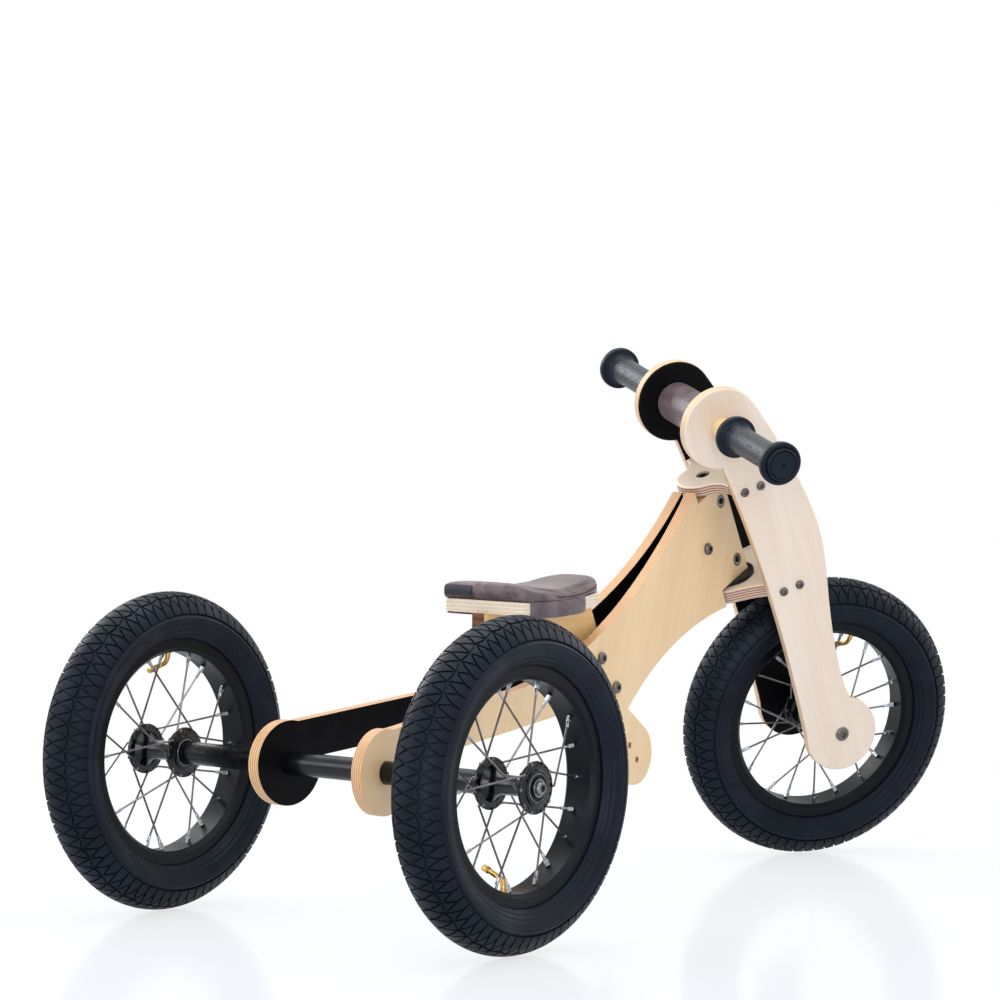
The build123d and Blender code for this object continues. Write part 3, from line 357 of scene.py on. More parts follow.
def dress(mesh, *materials):
    """Gives a mesh these materials in place of what it has."""
    mesh.materials.clear()
    for material in materials:
        mesh.materials.append(material)


def put(name, data):
    """A new object in the scene."""
    made = bpy.data.objects.new(name, data)
    bpy.context.scene.collection.objects.link(made)
    return made


class Shape:
    """Vertices and faces gathered before they become one mesh."""

    def __init__(self):
        self.verts = []
        self.faces = []
        self.finish = []

    def add(self, verts, faces, finish=0):
        base = len(self.verts)
        self.verts.extend(tuple(v) for v in verts)
        self.faces.extend(tuple(base + i for i in face) for face in faces)
        self.finish.extend([finish] * len(faces))
        return self

    def build(self, name, materials, matrix=None, sharp=35.0, weld=False):
        """The shape as an object; weld joins points that lie on each other, so that turned parts close."""
        mesh = bpy.data.meshes.new(name)
        mesh.from_pydata([[c * MM for c in v] for v in self.verts], [], self.faces)
        dress(mesh, *materials)
        mesh.polygons.foreach_set("material_index", self.finish)
        work = bmesh.new()
        work.from_mesh(mesh)
        if weld:
            bmesh.ops.remove_doubles(work, verts=work.verts, dist=0.0002 * MM)
        bmesh.ops.recalc_face_normals(work, faces=work.faces)
        work.to_mesh(mesh)
        work.free()
        soften(mesh, sharp)
        if matrix is not None:
            mesh.transform(matrix)
        return put(name, mesh)


def around(radius, turn, along=0.0):
    """A point at a radius and angle about Y."""
    return Vector((radius * cos(turn), along, radius * sin(turn)))


def ring_faces(rows, sides):
    """Faces of a tube whose points come as rings, one after the other."""
    faces = []
    for i in range(rows - 1):
        for k in range(sides):
            n = (k + 1) % sides
            faces.append((i * sides + k, i * sides + n, (i + 1) * sides + n, (i + 1) * sides + k))
    return faces


def slab_faces(rows, columns):
    """Faces of a closed sheet whose points come as two grids, its outside and then its inside."""
    size = rows * columns
    faces = []
    for i in range(rows - 1):
        for k in range(columns - 1):
            a, b = i * columns + k, (i + 1) * columns + k
            faces.append((a, a + 1, b + 1, b))
            faces.append((size + a, size + b, size + b + 1, size + a + 1))
    rim = list(range(columns)) + [i * columns + columns - 1 for i in range(1, rows)]
    rim += [size - columns + k for k in range(columns - 2, -1, -1)] + [i * columns for i in range(rows - 2, 0, -1)]
    faces.extend((a, size + a, size + b, b) for a, b in zip(rim, rim[1:] + rim[:1]))
    return faces


def mirrored(half):
    """A turned profile from its half on one side, which starts in the middle plane."""
    return [(p[0], -p[1], *p[2:]) for p in half[:0:-1]] + half


def lathe(shape, profile, segments, closed=False, finish=0, matrix=None):
    """Turns a profile of (radius, along) or (radius, along, sides) about Y; sides gives a many-sided ring."""
    verts, rings = [], []
    for radius, along, *sides in profile:
        start = len(verts)
        if radius < 1e-6:
            verts.append(Vector((0, along, 0)))
        else:
            for k in range(segments):
                turn = 2 * pi * k / segments
                reach = radius
                if sides:
                    part = 2 * pi / sides[0]
                    reach = radius * cos(part / 2) / cos((turn % part) - part / 2)
                verts.append(around(reach, turn, along))
        rings.append(range(start, len(verts)))
    pairs = list(zip(rings, rings[1:]))
    if closed:
        pairs.append((rings[-1], rings[0]))
    faces = []
    for low, high in pairs:
        for k in range(segments):
            n = (k + 1) % segments
            if len(low) == 1:
                faces.append((low[0], high[k], high[n]))
            elif len(high) == 1:
                faces.append((low[k], low[n], high[0]))
            else:
                faces.append((low[k], low[n], high[n], high[k]))
    if matrix is not None:
        verts = [matrix @ v for v in verts]
    return shape.add(verts, faces, finish)


def tube(shape, path, radii, sides=8, finish=0):
    """A closed round bar along a path of points, with a radius for each point."""
    points = [Vector(p) for p in path]
    across = (points[1] - points[0]).normalized().orthogonal().normalized()
    verts = []
    for i, point in enumerate(points):
        heading = (points[min(i + 1, len(points) - 1)] - points[max(i - 1, 0)]).normalized()
        across = (across - heading * across.dot(heading)).normalized()
        other = heading.cross(across)
        for k in range(sides):
            turn = 2 * pi * k / sides
            verts.append(point + (across * cos(turn) + other * sin(turn)) * radii[i])
    last = (len(points) - 1) * sides
    ends = [tuple(range(sides)), tuple(range(last, last + sides))]
    return shape.add(verts, ring_faces(len(points), sides) + ends, finish)


def turned_to(direction, origin):
    """Matrix that takes local Y to a direction and the local origin to a point."""
    y = Vector(direction).normalized()
    x = y.orthogonal().normalized()
    z = x.cross(y)
    return placed(origin, x, y, z)


def button_bolt(shape, seat, outward, length, head, height, shank, socket, base=0.0):
    """Button-head bolt with a six-sided socket: head above the seat, on a flat base if it has one, shank below."""
    radius = head / 2
    hole = socket / 2 / cos(pi / 6)
    profile = [(0, -length), (shank / 2 - 0.5, -length), (shank / 2, -length + 0.6), (shank / 2, 0)]
    if base:
        profile += [(radius, 0), (radius, base - 0.3), (radius - 0.3, base)]
        radius *= 0.78
    lip, spring = hole + 0.5, base + 0.25
    profile += [(radius - 0.2, base), (radius, spring)]
    for step in range(1, 6):
        turn = radians(90) * step / 6
        profile.append((lip + (radius - lip) * cos(turn), spring + (height - spring) * sin(turn)))
    profile += [(hole + 0.35, height), (hole, height - 0.2, 6), (hole, height * 0.35, 6), (0, height * 0.2)]
    lathe(shape, profile, 24, matrix=turned_to(outward, seat))


# Wheels

WHEEL_RADIUS = 152.4
PITCHES = 76  # tread blocks round the crown
TREAD_DEPTH = 1.6
GROOVE = 1.0  # half the width of a tread groove
DRAFT = 0.5  # how much a block is wider at its foot, on each side
FOOT = 0.35  # how far a block's foot lies below the grooves
ZIGZAG = (16.6, 14.2)  # reach of the crown blocks to each side, in turn
LUG_START, LUG_END = 29.0, 37.0  # reach of the shoulder lugs
MOULD_RINGS = ((40.4, 0.7), (43.0, 0.35), (52.5, 0.6), (57.0, 0.5))  # place across the sidewall, height
TYRE_OUTSIDE = [
    (WHEEL_RADIUS, 0.0), (151.8, 5.6), (149.8, 11.6), (146.1, 17.6), (140.9, 22.8), (134.5, 26.7),
    (127.6, 28.4), (120.6, 27.3), (114.3, 23.9), (109.6, 20.2), (108.2, 18.2),
]


def smooth_line(points, count):
    """Points along a smooth curve through the given ones, evenly spaced, with the distance of each."""
    fine = []
    for i in range(len(points) - 1):
        a, b, c, d = (np.array(points[max(min(i + k, len(points) - 1), 0)]) for k in (-1, 0, 1, 2))
        for t in np.arange(12) / 12:
            fine.append(b + ((c - a) * t + (2 * a - 5 * b + 4 * c - d) * t**2 + (3 * b - a - 3 * c + d) * t**3) / 2)
    fine = np.array([*fine, points[-1]])
    run = np.concatenate([[0], np.cumsum(np.hypot(*np.diff(fine, axis=0).T))])
    even = np.linspace(0, run[-1], count)
    return np.stack([np.interp(even, run, fine[:, i]) for i in (0, 1)], 1), even


half_line, half_run = smooth_line([(TYRE_OUTSIDE[1][0], -TYRE_OUTSIDE[1][1])] + TYRE_OUTSIDE, 140)
first = int(np.argmin(np.abs(half_line[:, 1])))
half_line, half_run = half_line[first:], half_run[first:] - half_run[first]


def half_point(run):
    """Radius and side of the tyre's outside at a distance from its crown."""
    return np.array([np.interp(run, half_run, half_line[:, i]) for i in (0, 1)])


def tyre_point(along, across, height):
    """A point of the tyre's outside from its distances along the crown and across it, raised by a height."""
    run = abs(across)
    radius, side = half_point(run)
    step = 0.4
    ahead = half_point(run + step) - half_point(max(run - step, 0))
    if run < step:
        ahead = [0.0, 1.0]
    size = hypot(*ahead)
    radius += height * ahead[1] / size
    side -= height * ahead[0] / size
    return around(radius, along / WHEEL_RADIUS, copysign(side, across))


def inset(polygon, distance):
    """A convex polygon, given anticlockwise, drawn in on every side."""
    lines = []
    for (x0, y0), (x1, y1) in zip(polygon, polygon[1:] + polygon[:1]):
        size = hypot(x1 - x0, y1 - y0)
        nx, ny = -(y1 - y0) / size, (x1 - x0) / size
        lines.append((nx, ny, nx * x0 + ny * y0 + distance))
    corners = []
    for (a, b, c), (d, e, f) in zip(lines[-1:] + lines[:-1], lines):
        det = a * e - b * d
        corners.append(((c * e - b * f) / det, (a * f - c * d) / det))
    return corners


def slices(polygon, count):
    """Spans of a convex polygon along its first coordinate, at even steps of its second."""
    low = min(p[1] for p in polygon)
    high = max(p[1] for p in polygon)
    found = []
    for step in range(count + 1):
        level = low + (high - low) * (0.002 + 0.996 * step / count)
        cuts = []
        for (x0, y0), (x1, y1) in zip(polygon, polygon[1:] + polygon[:1]):
            if (y0 - level) * (y1 - level) <= 0 and abs(y1 - y0) > 1e-9:
                cuts.append(x0 + (x1 - x0) * (level - y0) / (y1 - y0))
        found.append((min(cuts), max(cuts), level))
    return found


def tread_block(shape, polygon):
    """One raised block: its top follows the tyre, its sides slope down into the grooves."""
    levels = [p[1] for p in polygon]
    row, columns = 3.2, 3  # longest step across the tread, steps along it
    count = max(3, ceil((max(levels) - min(levels)) / row))
    verts = []
    for gap, height in ((GROOVE, 0.0), (GROOVE - DRAFT, -TREAD_DEPTH - FOOT)):
        for start, end, level in slices(inset(polygon, gap), count):
            for k in range(columns + 1):
                verts.append(tyre_point(start + (end - start) * k / columns, level, height))
    shape.add(verts, slab_faces(count + 1, columns + 1))


def tyre_mesh():
    """Balloon tyre: a turned casing with moulded rings and a lattice of raised tread blocks."""
    shape = Shape()
    pitch = 2 * pi * WHEEL_RADIUS / PITCHES
    for k in range(PITCHES):
        before, after = pitch * (k - 0.5), pitch * (k + 0.5)
        reach, next_reach = ZIGZAG[k % 2], ZIGZAG[(k + 1) % 2]
        blocks = [[(before, 0), (pitch * k, -reach), (after, 0), (pitch * k, reach)]]
        for side in (1, -1):
            here, ahead = (pitch * k, side * reach), (pitch * (k + 1), side * next_reach)
            start, end = side * LUG_START, side * LUG_END
            inner = [(after, 0), ahead, here]
            shoulder = [here, ahead, (after, start)]
            lug = [here, (after, start), (after, end), (before, end), (before, start)]
            blocks += [b if side > 0 else b[::-1] for b in (inner, shoulder, lug)]
        for block in blocks:
            tread_block(shape, block)
    outside = []
    for run in np.linspace(0, half_run[-1], 90):
        groove = -TREAD_DEPTH * min(1, max(0, (LUG_END + 2.0 - run) / 2.4))
        ridge = sum(size * exp(-(((run - at) / 0.75) ** 2)) for at, size in MOULD_RINGS)
        point = tyre_point(0, run, groove + ridge)
        outside.append((point.x, point.y))
    inside = [(108.2, 14.0), (101.9, 14.0), (101.9, 10.2), (127.4, 24.4), (141.0, 12.0)]
    return lathe(shape, mirrored(outside + inside), 228, closed=True)


SPOKES = 10  # on each flange
SPOKE_STEP = radians(360 / SPOKES)
FLANGE_AT = 25.2  # middle of a hub flange from the wheel's middle plane
# Side, number and angle of the spokes' holes; the left flange is turned by half a step against the right one
HOLES = [(-1, number, SPOKE_STEP * number) for number in range(SPOKES)]
HOLES += [(1, number, SPOKE_STEP * (number + 0.5)) for number in range(SPOKES)]


def hub_mesh():
    """Hub shell with flared flanges and a bevelled ring round each bearing."""
    half = [
        (9.2, 0), (9.2, 8), (9.6, 12), (10.8, 16), (13.2, 19.6), (15.6, 22.2), (17.0, 23.5), (23.2, 23.7),
        (23.8, 24.2), (24.0, 25.2), (23.8, 26.2), (23.2, 26.7), (17.6, 26.8), (16.8, 27.1), (16.5, 27.8),
        (16.2, 28.7), (15.6, 29.0), (13.6, 29.0), (13.05, 28.6), (13.0, 21.0), (6.5, 21.0),
    ]
    return lathe(Shape(), mirrored(half), 64, closed=True)


def drill(piece, cutters, matrix):
    """Cuts the closed shape of cutters out of a piece for good."""
    tool = cutters.build(piece.name + "_drill", [piece.data.materials[0]], matrix)
    cut = piece.modifiers.new("cut", "BOOLEAN")
    cut.object = tool
    cut.solver = "EXACT"
    bpy.context.view_layer.update()
    graph = bpy.context.evaluated_depsgraph_get()
    mesh = bpy.data.meshes.new_from_object(piece.evaluated_get(graph))
    piece.modifiers.remove(cut)
    piece.data = mesh
    bpy.data.objects.remove(tool)
    soften(mesh)


def spoke_lines():
    """Start at the flange, end at the rim, and the head behind the flange of every spoke."""
    hole_radius, rim_radius, rim_side = 22.5, 94.37, 3.4
    proud, clear, head = 2.65, 1.1, 2.2  # beside the flange: a spoke, an outer spoke's extra, a head
    lines = []
    for side, number, turn in HOLES:
        way = 1 if number % 2 == 0 else -1
        start = around(hole_radius, turn, side * (FLANGE_AT + way * proud + (clear if way > 0 else 0)))
        end = around(rim_radius, turn + way * SPOKE_STEP, side * rim_side)
        lines.append((start, end, around(hole_radius, turn, side * (FLANGE_AT - way * head))))
    return lines


def spokes_mesh():
    """Wire spokes with a head and a bend at the hub."""
    shape = Shape()
    for start, end, behind in spoke_lines():
        direction, through = (end - start).normalized(), start - behind
        path = [behind, behind + through * 0.12, behind + through * 0.13, start - through.normalized() * 0.7]
        path += [start + direction * 0.7, start + direction * 2.2, end - direction * 11.0]
        tube(shape, path, [1.7, 1.6, 0.95, 0.95, 1.0, 0.98, 0.98])
    return shape


def nipples_mesh():
    """Turned nipples with a square neck, each along its spoke."""
    profile = [
        (0, -12.6), (1.25, -12.6), (1.55, -12.1), (1.62, -6.0), (1.95, -5.6, 4), (2.3, -5.2, 4), (2.3, -1.2, 4),
        (2.4, 0), (0, 0),
    ]
    shape = Shape()
    for start, end, _ in spoke_lines():
        direction = (end - start).normalized()
        lathe(shape, profile, 12, matrix=turned_to(direction, end + direction * 0.6))
    return shape


def valve_mesh(angle):
    """Bent brass valve: rim collar, stem, bend, fine thread and cap."""
    inward = -around(1, radians(angle))
    stem, thread_root, bend, bend_at, turn = 2.5, 2.15, 10.0, 91.5, radians(68)
    collar = ((-101.6, 2.4), (-98, 2.4), (-95.6, 2.4), (-95.5, 4.2), (-93.6, 4.2), (-93.5, stem), (-92, stem))
    cap = ((12.6, 2.2), (12.7, 3.0), (13.1, 3.25), (18.6, 3.25), (19.3, 2.9), (19.8, 2.2))
    line = [(inward * at, radius) for at, radius in collar]
    for step in range(9):
        part = turn * step / 8
        line.append((inward * (bend * sin(part) - bend_at) + LEFT * bend * (1 - cos(part)), stem))
    heading = inward * cos(turn) + LEFT * sin(turn)
    bent = line[-1][0]
    line += [(bent + heading * (1.0 + step * 0.5), stem if step % 2 else thread_root) for step in range(1, 23)]
    line += [(bent + heading * at, radius) for at, radius in cap]
    return tube(Shape(), *zip(*line), 16)


def bearings_mesh():
    """Sealed bearings: steel races with a black seal set back between them."""
    outer = [(12.95, 21.2), (12.95, 28.8), (12.7, 29.0), (12.2, 29.0), (12.0, 28.7), (12.0, 28.2)]
    seal = [(12.0, 28.2), (11.2, 28.45), (9.6, 28.1), (7.9, 28.45), (7.0, 28.2)]
    inner = [(7.0, 28.2), (7.0, 28.7), (6.8, 29.0), (5.3, 29.0), (5.05, 28.7), (5.05, 21.2)]
    back = [inner[-1], outer[0]]
    shape = Shape()
    for side in (-1, 1):
        for line, finish in ((outer, 0), (seal, 1), (inner, 0), (back, 0)):
            lathe(shape, [(r, side * y) for r, y in line], 48, finish=finish)
    return shape


def fit(piece, body, slot, *replaced):
    """Lets a finished piece ride on a body in place of the plain solids."""
    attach(piece, body)
    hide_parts(*replaced)


tyre_shape, spoke_shape, nipple_shape = tyre_mesh(), spokes_mesh(), nipples_mesh()
bearing_shape, hub_shape = bearings_mesh(), hub_mesh()
flange_holes = Shape()
for side, _, turn in HOLES:
    for place, radius, hole in ((turn, 22.0, 1.25), (turn + SPOKE_STEP / 2, 20.6, 1.5)):
        at = Matrix.Translation(around(radius, place, side * FLANGE_AT))
        lathe(flange_holes, [(0, -3), (hole, -3), (hole, 3), (0, 3)], 12, matrix=at)
for wheel, matrix in WHEELS.items():
    fit(tyre_shape.build(wheel + "_tread_tyre", [tyre_rubber], matrix, 28), wheel, "tyre", wheel + "_tyre")
    fit(spoke_shape.build(wheel + "_wire_spokes", [spoke_steel], matrix), wheel, "spoke", wheel + "_spokes")
    fit(nipple_shape.build(wheel + "_spoke_nipples", [nipple_steel], matrix), wheel, "nipple", wheel + "_nipples")
    races = bearing_shape.build(wheel + "_sealed_bearings", [dull_steel, seal_black], matrix, weld=True)
    fit(races, wheel, "bearing", wheel + "_bearings")
    fit(valve_mesh(VALVES[wheel]).build(wheel + "_bent_valve", [brass], matrix), wheel, "valve", wheel + "_valve")
    hub = hub_shape.build(wheel + "_drilled_hub", [hub_black], matrix)
    drill(hub, flange_holes, matrix)
    fit(hub, wheel, "hub", wheel + "_hub_shell")


# Bolts

# Sizes: head, height of the head, shank, socket, and a flat base below the head if there is one
M5 = (9.5, 2.8, 5, 3.6)
M6 = (12.5, 3.6, 6, 4.6)
M8 = (14, 4.8, 8, 6)
REAR_AXLE = (17, 5.0, 10, 6, 1.4)
FRONT_AXLE = (15, 2.6, 10, 6)
FRONT_CAP = (15, 2.4, 9, 6)
WOOD_SCREW = (9.5, 3.0, 5, 4.0)
SEAT_BOLTS = ((370, -28.75, 233), (398, -25.95, 202))  # X from the rear axle
BLADE_FACE = 62.6  # outside of the fork's blades
BLADE_SCREWS = ((16.2, 301.0), (34.8, 301.0), (28.3, 180.1), (47.1, 180.1))  # X and Z in the fork's frame
FRONT_AXLE_X = 48.7  # in the fork's frame
REAR_AXLE_END = 242.55


def bolts(name, body, slot, replaced, material, sizes, length, spots, matrix=None):
    """Bolts of one kind as one piece; each spot is the seat under its head and the way the head faces."""
    shape = Shape()
    for seat, outward in spots:
        button_bolt(shape, Vector(seat), outward, length, *sizes)
    fit(shape.build(name, [material], matrix), body, slot, replaced)


for side, word in SIDES:
    spots = [((x, side * BLADE_FACE, z), LEFT * side) for x, z in BLADE_SCREWS]
    bolts(f"socket_screws_{word}", "fork", "bolt", f"fork_screws_{word}", gunmetal, M5, 44.0, spots, FORK)
clamp_low, clamp_high = (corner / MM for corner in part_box("head_clamp_bolt"))
clamp = (clamp_low + clamp_high) / 2
clamp.y = clamp_low.y + M6[1]
bolts("clamp_bolt", "frame", "bolt", "head_clamp_bolt", gunmetal, M6, 36.5, [(clamp, -LEFT)])
spots = [((x + SHIFT, y, z), -LEFT) for x, y, z in SEAT_BOLTS]
bolts("seat_bolts", "frame", "bolt", "seat_post_bolts", gunmetal, M6, 60.0, spots)
for word, at, way, length in (("upper", 304.4, UP, 29), ("lower", 181.3, -UP, 34)):
    spots = [((0, 0, at), way)]
    bolts(f"{word}_steering_bolt", "frame", "bolt", f"{word}_pivot_bolt", gunmetal, M8, length, spots, HEAD)
spots = [((SHIFT, side * REAR_AXLE_END, WHEEL_RADIUS), LEFT * side) for side in (-1, 1)]
bolts("rear_axle_screws", "frame", "axle", "rear_axle_bolts", dull_steel, REAR_AXLE, 84, spots)
spots = [((FRONT_AXLE_X, -BLADE_FACE, 0), -LEFT)]
bolts("front_axle_screw", "fork", "axle", "front_axle_bolt", gunmetal, FRONT_AXLE, 125, spots, FORK)
spots = [((FRONT_AXLE_X, BLADE_FACE + 0.25, 0), LEFT)]
bolts("front_axle_end", "fork", "axle", "front_axle_cap", gunmetal, FRONT_CAP, 0.4, spots, FORK)
spots = [((SEAT_REAR + SEAT_LENGTH * share, 0, SEAT_TOP - 6), UP) for share in (0.2, 0.75)]
bolts("seat_board_screws", "frame", "bolt", "seat_screws", steel, WOOD_SCREW, 28.0, spots)

low, high = (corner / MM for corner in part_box("pivot_barrel_nuts"))
radius, face = 7.0, high.y
nut_line = [
    (radius, 0), (radius, face - 0.6), (6.5, face), (3.9, face),
    (3.5, face - 0.4, 6), (3.5, face - 2.6, 6), (0, face - 3.2),
]
nuts = Shape()
for x, z in ((high.x - radius, low.z + radius), (low.x + radius, high.z - radius)):
    lathe(nuts, mirrored(nut_line), 30, matrix=Matrix.Translation((x, 0, z)))
fit(nuts.build("socket_barrel_nuts", [gunmetal]), "frame", "bolt", "pivot_barrel_nuts")


# Handlebar

BAR = FORK @ Matrix.Translation(Vector((11.2, 0, 375.8)) * MM)


def rounded(points, radius, steps=4):
    """A profile with every inner corner rounded off."""
    line = [points[0]]
    for before, corner, after in zip(points, points[1:], points[2:]):
        p, c, q = (Vector((*v, 0)) for v in (before, corner, after))
        cut = min(radius, (p - c).length * 0.45, (q - c).length * 0.45)
        start, end = c + (p - c).normalized() * cut, c + (q - c).normalized() * cut
        for step in range(steps + 1):
            t = step / steps
            at = start * (1 - t) ** 2 + c * 2 * t * (1 - t) + end * t * t
            line.append((at.x, at.y))
    line.append(points[-1])
    return line


def grip_mesh(side):
    """Rubber grip: two collars, a pebbled barrel and a closed end with raised rings and a vent hole."""
    body = [
        (10.1, 90.3), (21.0, 90.3), (21.5, 92.5), (21.3, 97.2), (17.4, 98.4), (14.4, 101.5), (14.0, 104.0),
        (14.0, 184.0), (14.4, 187.0), (17.2, 190.0), (21.6, 191.0), (22.0, 193.5), (22.0, 197.2), (20.8, 199.0),
        (17.9, 199.6), (17.6, 198.2), (16.9, 198.2), (16.7, 201.0), (15.8, 202.6), (14.5, 202.8), (14.2, 201.6),
        (13.7, 201.6), (13.4, 202.9), (1.8, 203.0), (1.4, 200.4), (0, 200.4),
    ]
    bore = [(10.1, 90.3), (10.1, 200.2), (0, 200.2)]
    barrel_start, barrel_end = 102.0, 187.0
    shape = Shape()
    for line in (rounded(body, 1.1), bore):
        lathe(shape, [(r, side * y) for r, y in line], 72)
    for i, face in enumerate(shape.faces):
        reach = [abs(shape.verts[k][1]) for k in face]
        shape.finish[i] = 0 if barrel_start < min(reach) and max(reach) < barrel_end else 1
    return shape


for side, word in SIDES:
    grip = grip_mesh(side).build(f"ringed_grip_{word}", [grip_rubber, cap_rubber], BAR, 40, weld=True)
    fit(grip, "fork", "grip", f"grip_{word}")


def sleeve_mesh():
    """Leather wrap round the bar: slightly uneven, closed by a sewn seam on the far side."""
    rows, sides = 60, 72
    half, bore, skin, seam_at, stitch = 50.3, 12.6, 21.0, 0.35, 4.2
    turns = [2 * pi * k / sides for k in range(sides)]
    verts = []
    for i in range(rows + 1):
        along = -half + 2 * half * i / rows
        end = min(1.0, (half - abs(along)) / 2.2)
        for turn in turns:
            seam = abs((turn - seam_at + pi) % (2 * pi) - pi) * skin
            fold = 0.55 * exp(-((seam / 1.6) ** 2)) - 0.35 * exp(-((seam / 0.5) ** 2))
            uneven = 0.3 * noise.noise(around(1.4, turn, along * 0.05))
            verts.append(around(skin - 0.6 + 0.6 * sqrt(end) + uneven + fold, turn, along))
    shape = Shape().add(verts, ring_faces(rows + 1, sides))
    for ring in (verts[:sides], verts[-sides:]):
        inner = [around(bore, turn, ring[0].y) for turn in turns]
        shape.add(ring + inner, ring_faces(2, sides))
    lathe(shape, [(bore, -half), (bore, half)], sides)
    for number in range(23):
        along = stitch * (number - 11)
        for turn in (seam_at - 0.13, seam_at + 0.13):
            bow = ((-0.1, -1.3), (0.35, 0), (-0.1, 1.3))
            path = [around(skin + lift, turn, along + step) for lift, step in bow]
            tube(shape, path, [0.3, 0.38, 0.3], 6, finish=1)
    return shape


sleeve = sleeve_mesh().build("leather_sleeve", [hide_sleeve, thread], BAR, weld=True)
fit(sleeve, "fork", "leather", "handlebar_sleeve")


# Saddle

PAD_TOP = (20.0, 9.0, 22.0)  # height of the pad above the board's rear: at its rear, dip and nose
PAD_GROW = 0.6  # how far the pad stands over the board's edge
BELLY = 0.38  # share of the pad's height that lies below its widest line
UNDERSIDE = 0.3  # power of the section's lower half: 1 is round, 0 is square


def arc_height(x, rear, middle, nose):
    """Height above the board's rear of a circular arc through three heights, as the saddle's curves run."""
    p = [Vector((-3.0, rear, 0)), Vector((SEAT_LENGTH * 0.4, middle, 0)), Vector((SEAT_LENGTH + 3.0, nose, 0))]
    a, b = p[1] - p[0], p[2] - p[0]
    cross = 2 * (a.x * b.y - a.y * b.x)
    u = (b.y * a.length_squared - a.y * b.length_squared) / cross
    v = (a.x * b.length_squared - b.x * a.length_squared) / cross
    radius = hypot(u, v)
    lift = sqrt(max(radius**2 - (x - p[0].x - u) ** 2, 0))
    return p[0].y + v - copysign(lift, v)


def board_top(x):
    return arc_height(x, 0, -1.5, 5.0)


def half_width(x, grow):
    """Half the saddle's width at a distance from its rear: square behind, drawn in to a round nose."""
    wide, nose, shoulder, front = 51.0 + grow, 33.0 + grow, 66.0, SEAT_LENGTH + grow
    round_nose, nose_cut, round_rear = 26.0, 27.0, 8.5
    narrowed = wide + (nose - wide) * max(x - shoulder, 0) / (front - shoulder)
    soft = 1 / (1 + exp(-(x - shoulder) / 7))
    width = (1 - soft) * wide + soft * narrowed
    if x > front - round_nose:
        part = (x - (front - round_nose)) / round_nose
        width -= nose_cut * (1 - sqrt(max(1 - part**2, 0)))
    if x < round_rear - grow:
        part = 1 - (x + grow) / round_rear
        width -= round_rear * (1 - sqrt(max(1 - min(part, 1) ** 2, 0)))
    return max(width, 0.5)


def pad_mesh():
    """Stuffed pad as a closed quilt of rings: flat underneath, round-sided, dished along its top."""
    stations, sides = 46, 56
    nose_start, nose_length, rear_round, front_round = 25.0, 70.0, 5.5, 8.5
    verts = []
    for i in range(stations + 1):
        share = 0.5 - 0.5 * cos(pi * i / stations)
        x = -PAD_GROW + (SEAT_LENGTH + 2 * PAD_GROW) * share
        wide = half_width(x, PAD_GROW)
        low = board_top(x) + 0.25
        high = arc_height(x, *PAD_TOP)
        nose = min(max((x - nose_start) / nose_length, 0), 1)
        nose *= nose * (3 - 2 * nose)
        square, crown = UNDERSIDE + 0.16 * nose, 0.42 + 0.34 * nose  # powers of the upper half
        end = min((x + PAD_GROW) / rear_round, (SEAT_LENGTH + PAD_GROW - x) / front_round, 1)
        soft = sqrt(max(0.0, 1 - (1 - end) ** 2))
        middle, half = low + BELLY * (high - low), (high - low) * (0.16 + 0.84 * soft)
        for k in range(sides):
            turn = 2 * pi * k / sides
            c, s = cos(turn), sin(turn)
            y = wide * copysign(abs(c) ** (square if s > 0 else UNDERSIDE), c)
            z = middle + half * ((1 - BELLY) * s**crown if s > 0 else -BELLY * (-s) ** UNDERSIDE)
            verts.append(Vector((SEAT_REAR + x, y, SEAT_TOP + z)))
    faces = ring_faces(stations + 1, sides)
    for first in (0, stations * sides):
        centre = len(verts)
        verts.append(sum(verts[first : first + sides], Vector()) / sides)
        faces.extend((first + k, first + (k + 1) % sides, centre) for k in range(sides))
    return Shape().add(verts, faces)


def inflate(piece, frames, cap):
    """Swells a closed mesh as pressed cloth, holding its underside, and lets no point move beyond a cap."""
    before = np.array([v.co for v in piece.data.vertices])
    held = piece.vertex_groups.new(name="held")
    for vertex in piece.data.vertices:
        floor = board_top(vertex.co.x / MM - SEAT_REAR) + SEAT_TOP
        if vertex.co.z / MM < floor + 1.6:
            held.add([vertex.index], 1.0, "REPLACE")
    cloth = piece.modifiers.new("cloth", "CLOTH")
    settings = cloth.settings
    settings.quality = 6
    settings.mass = 0.3
    settings.use_pressure = True
    settings.uniform_pressure_force = 4.0
    settings.tension_stiffness = settings.compression_stiffness = 18
    settings.bending_stiffness = 0.6
    settings.shrink_min = -0.015
    settings.vertex_group_mass = held.name
    settings.effector_weights.gravity = 0.0
    cloth.collision_settings.use_collision = False
    cloth.point_cache.frame_start = 1
    cloth.point_cache.frame_end = frames
    scene = bpy.context.scene
    for number in range(1, frames + 1):
        scene.frame_set(number)
    graph = bpy.context.evaluated_depsgraph_get()
    after = np.array([v.co for v in piece.evaluated_get(graph).data.vertices])
    piece.modifiers.remove(cloth)
    scene.frame_set(1)
    moved = after - before
    size = np.linalg.norm(moved, axis=1)
    moved *= np.minimum(1, cap * MM / np.maximum(size, 1e-9))[:, None]
    piece.data.vertices.foreach_set("co", (before + moved).astype(np.float32).ravel())


